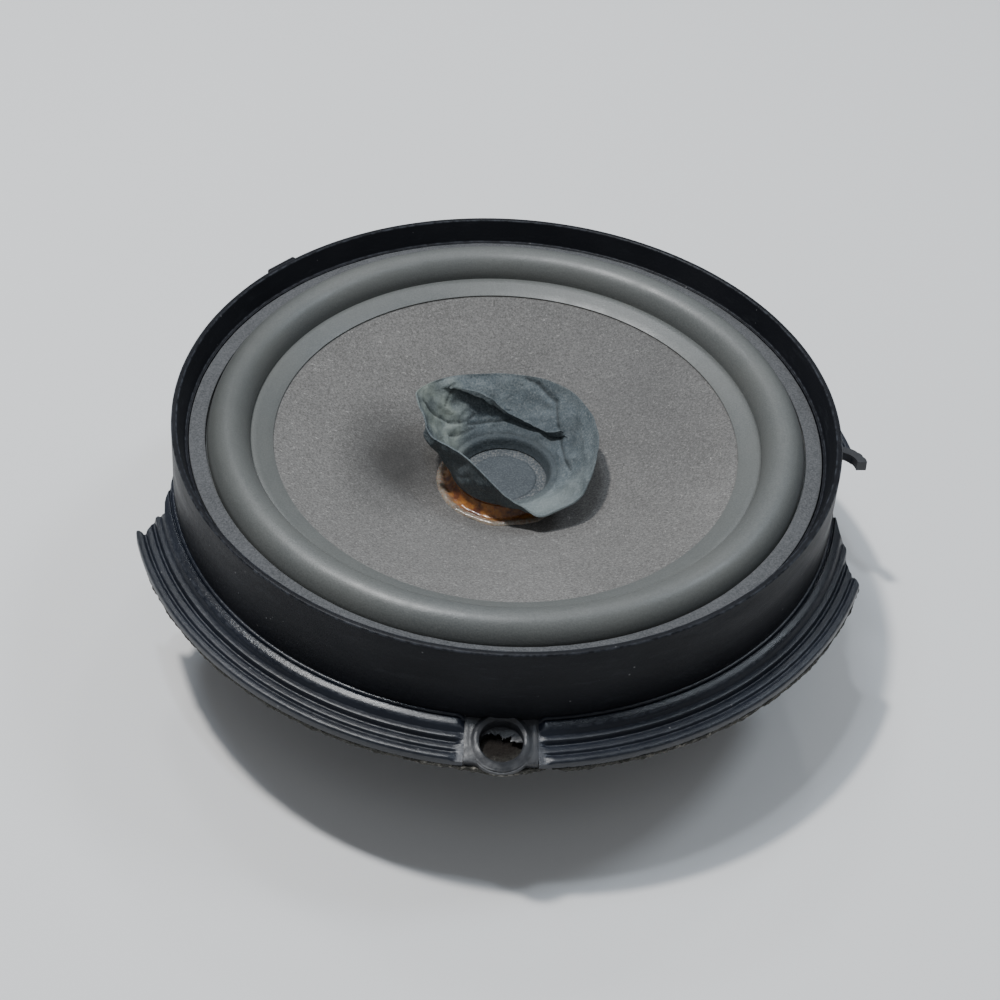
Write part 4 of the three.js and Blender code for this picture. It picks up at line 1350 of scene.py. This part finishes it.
def hole_shade_sheet():
    """A dark sheet in the shape of a torn tongue of the front strip, put under the screw hole as painted
    shade seen through it.
    """
    steps, rows, centre_y = 48, 6, -87.0
    top = FOAM_Z + 0.2
    points = []
    for i in range(steps):
        degrees = 360 * i / steps
        way = polar(1.0, degrees)
        reach = 6.2 + 0.9 * rough(way * 3, 1.0, 41.0)
        for k in range(rows):
            share = k / (rows - 1)
            spot = Vector((0, centre_y, top)) + way * reach * share
            points.append(spot + Vector((0, 0, 0.18 * rough(spot, 1.1, 42.0) - 0.2 * share**4)))
        for k in range(rows):
            share = 1 - k / (rows - 1)
            spot = Vector((0, centre_y, top - 1.1)) + way * reach * share * 0.97
            points.append(spot + Vector((0, 0, 0.18 * rough(spot, 1.1, 43.0))))
    return new_object("hole_shade_sheet", points, quads(steps, 2 * rows, closed=False), FOAM, sharp=80)


make_foam("foam_gasket_front_left", 203, 276.5, 85.5, 93.55, 1.3, hole_shade_sheet())
make_foam("foam_gasket_front_right", 277, 339, 85, 93.7, 1.4)
make_foam("foam_gasket_rear", 18, 81, 85, 93.3, 0.9)

# ---- Magnet system ----


def turned_part(name, node, outline, material, closed=True, body="frame"):
    section = rounded(outline, closed=closed)
    piece = lathe(name, section, material, 192, closed=closed)
    place(piece, node, body)
    return piece


def make_motor():
    plate_top = high("yoke").z
    turned_part(
        "yoke_t_shape",
        "yoke",
        [
            (0.0, 0.0, 0), (PLATE_R, 0.0, 0.9), (PLATE_R, 5.0, 0.5), (POLE_R, 5.0, 0.3),
            (POLE_R, plate_top, 0.6), (0.0, plate_top, 0),
        ],
        STEEL,
        closed=False,
    )
    back, front = low("magnet").z, high("magnet").z
    outline = [(19, back, 0.5), (MAGNET_R, back, 1.1), (MAGNET_R, front, 1.1), (19, front, 0.5)]
    turned_part("magnet_ring", "magnet", outline, FERRITE)
    turned_part(
        "winding_turns",
        "voice_coil_winding",
        [(12.95, 14.5, 0.1), (13.4, 14.5, 0.2), (13.4, 24.5, 0.2), (12.95, 24.5, 0.1)],
        COPPER,
        body="diaphragm",
    )


make_motor()

# ---- Leads ----


def make_lead(node, side):
    """A braided lead from its terminal to the eyelet under the cone."""
    x = side * TERMINAL_X
    route = [
        (x, 44.6, 28.0), (x, 43.2, 28.8), (x, 41.2, 31.4), (x * 0.96, 39.0, 34.6),
        (x * 0.9, 36.0, 36.4), (x * 0.86, 33.2, 37.2), (x * 0.84, 31.2, 38.6),
        (x * 0.83, 30.0, low("cone_eyelet_left").z - 0.4),
    ]
    curve = bpy.data.curves.new(node + "_path", "CURVE")
    curve.dimensions = "3D"
    curve.bevel_depth = 0.55 * MM
    curve.bevel_resolution = 3
    curve.use_fill_caps = True
    spline = curve.splines.new("NURBS")
    spline.points.add(len(route) - 1)
    for point, spot in zip(spline.points, route):
        point.co = (*(Vector(spot) * MM), 1.0)
    spline.use_endpoint_u = True
    spline.order_u = 4
    spline.resolution_u = 8
    holder = add_object(node + "_holder", curve)
    bpy.context.view_layer.update()
    mesh = bpy.data.meshes.new_from_object(holder.evaluated_get(bpy.context.evaluated_depsgraph_get()))
    bpy.data.objects.remove(holder)
    piece = add_object(node + "_braid", mesh)
    mesh.materials.clear()
    mesh.materials.append(BRAID)
    tidy(mesh, 60)
    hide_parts(node)
    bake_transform(piece)


make_lead("tinsel_lead_left", -1)
make_lead("tinsel_lead_right", 1)

# ---- CAD pieces that keep their shape ----

KEPT = {
    "top_plate": STEEL,
    "terminal_board": LAMINATE,
    "terminal_tab_wide": BRASS,
    "terminal_tab_narrow": BRASS,
    "terminal_rivet_left": BRASS,
    "terminal_rivet_right": BRASS,
    "cone_eyelet_left": BRASS,
    "cone_eyelet_right": BRASS,
    **{f"basket_rivet_{i}": STEEL for i in range(1, 5)},
}
for node, material in KEPT.items():
    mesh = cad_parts[node].data
    mesh.materials.clear()
    mesh.materials.append(material)

# ---- Floor, world and lights ----


def make_floor():
    mesh = bpy.data.meshes.new("floor")
    reach = 3000
    corners = [(-reach, -reach, 0), (reach, -reach, 0), (reach, reach, 0), (-reach, reach, 0)]
    mesh.from_pydata([Vector(c) * MM for c in corners], [], [(0, 1, 2, 3)])
    floor = add_object("floor", mesh)
    p = Paint("floor_pale")
    p.set(Base_Color=p.ramp(p.noise(400, 2), (0.3, 0.78), (0.7, 0.82)))
    p.set(Roughness=0.9)
    mesh.materials.append(p.material)


def make_light(name, spot, size, power, colour, turn=None, shines=True):
    """A disc, or a strip of size (length, width) lying along the turn angle, aimed at the speaker.

    With shines off it only fills the shadows and leaves no highlight.
    """
    data = bpy.data.lights.new(name, "AREA")
    data.energy = power
    data.color = colour
    light = add_object(name, data)
    back = (Vector(spot) - Vector((0, 0, 0.05))).normalized()
    if turn is None:
        data.shape = "DISK"
        data.size = size
        along = back.orthogonal().normalized()
    else:
        data.shape = "RECTANGLE"
        data.size, data.size_y = size
        along = polar(1.0, turn)
        along = (along - back * along.dot(back)).normalized()
    columns = Matrix((along, back.cross(along), back)).transposed().to_4x4()
    light.matrix_world = Matrix.Translation(spot) @ columns
    light.visible_glossy = shines


def make_world():
    world = bpy.data.worlds.new("studio")
    world.use_nodes = True
    background = world.node_tree.nodes["Background"]
    background.inputs["Color"].default_value = (0.93, 0.96, 1.0, 1.0)
    background.inputs["Strength"].default_value = 0.22
    bpy.context.scene.world = world


make_floor()
make_world()
make_light("key", (-0.35, 0.105, 1.19), 0.08, 10.0, (1.0, 0.965, 0.92))
make_light("strip", (-0.33, 0.095, 1.2), (0.46, 0.09), 3.8, (0.72, 0.85, 1.0), turn=154)
make_light("glint", (-0.15, 0.01, 1.2), 0.06, 1.5, (0.85, 0.92, 1.0))
make_light("top", (0.06, 0.32, 1.4), 0.55, 0.5, (0.9, 0.95, 1.0), shines=False)
make_light("ceiling_right", (0.8, 0.45, 1.25), 0.7, 0.8, (0.8, 0.9, 1.0))
make_light("right", (0.76, 0.33, 1.2), 0.3, 3.8, (0.8, 0.9, 1.0))
make_light("back_left", (-0.31, 0.86, 1.3), 0.22, 2.4, (0.9, 0.95, 1.0))
make_light("back_right", (0.35, 0.97, 1.28), 0.12, 1.5, (0.9, 0.95, 1.0))
make_light("front", (0.05, -0.75, 1.5), 0.6, 1.0, (0.9, 0.95, 1.0), shines=False)
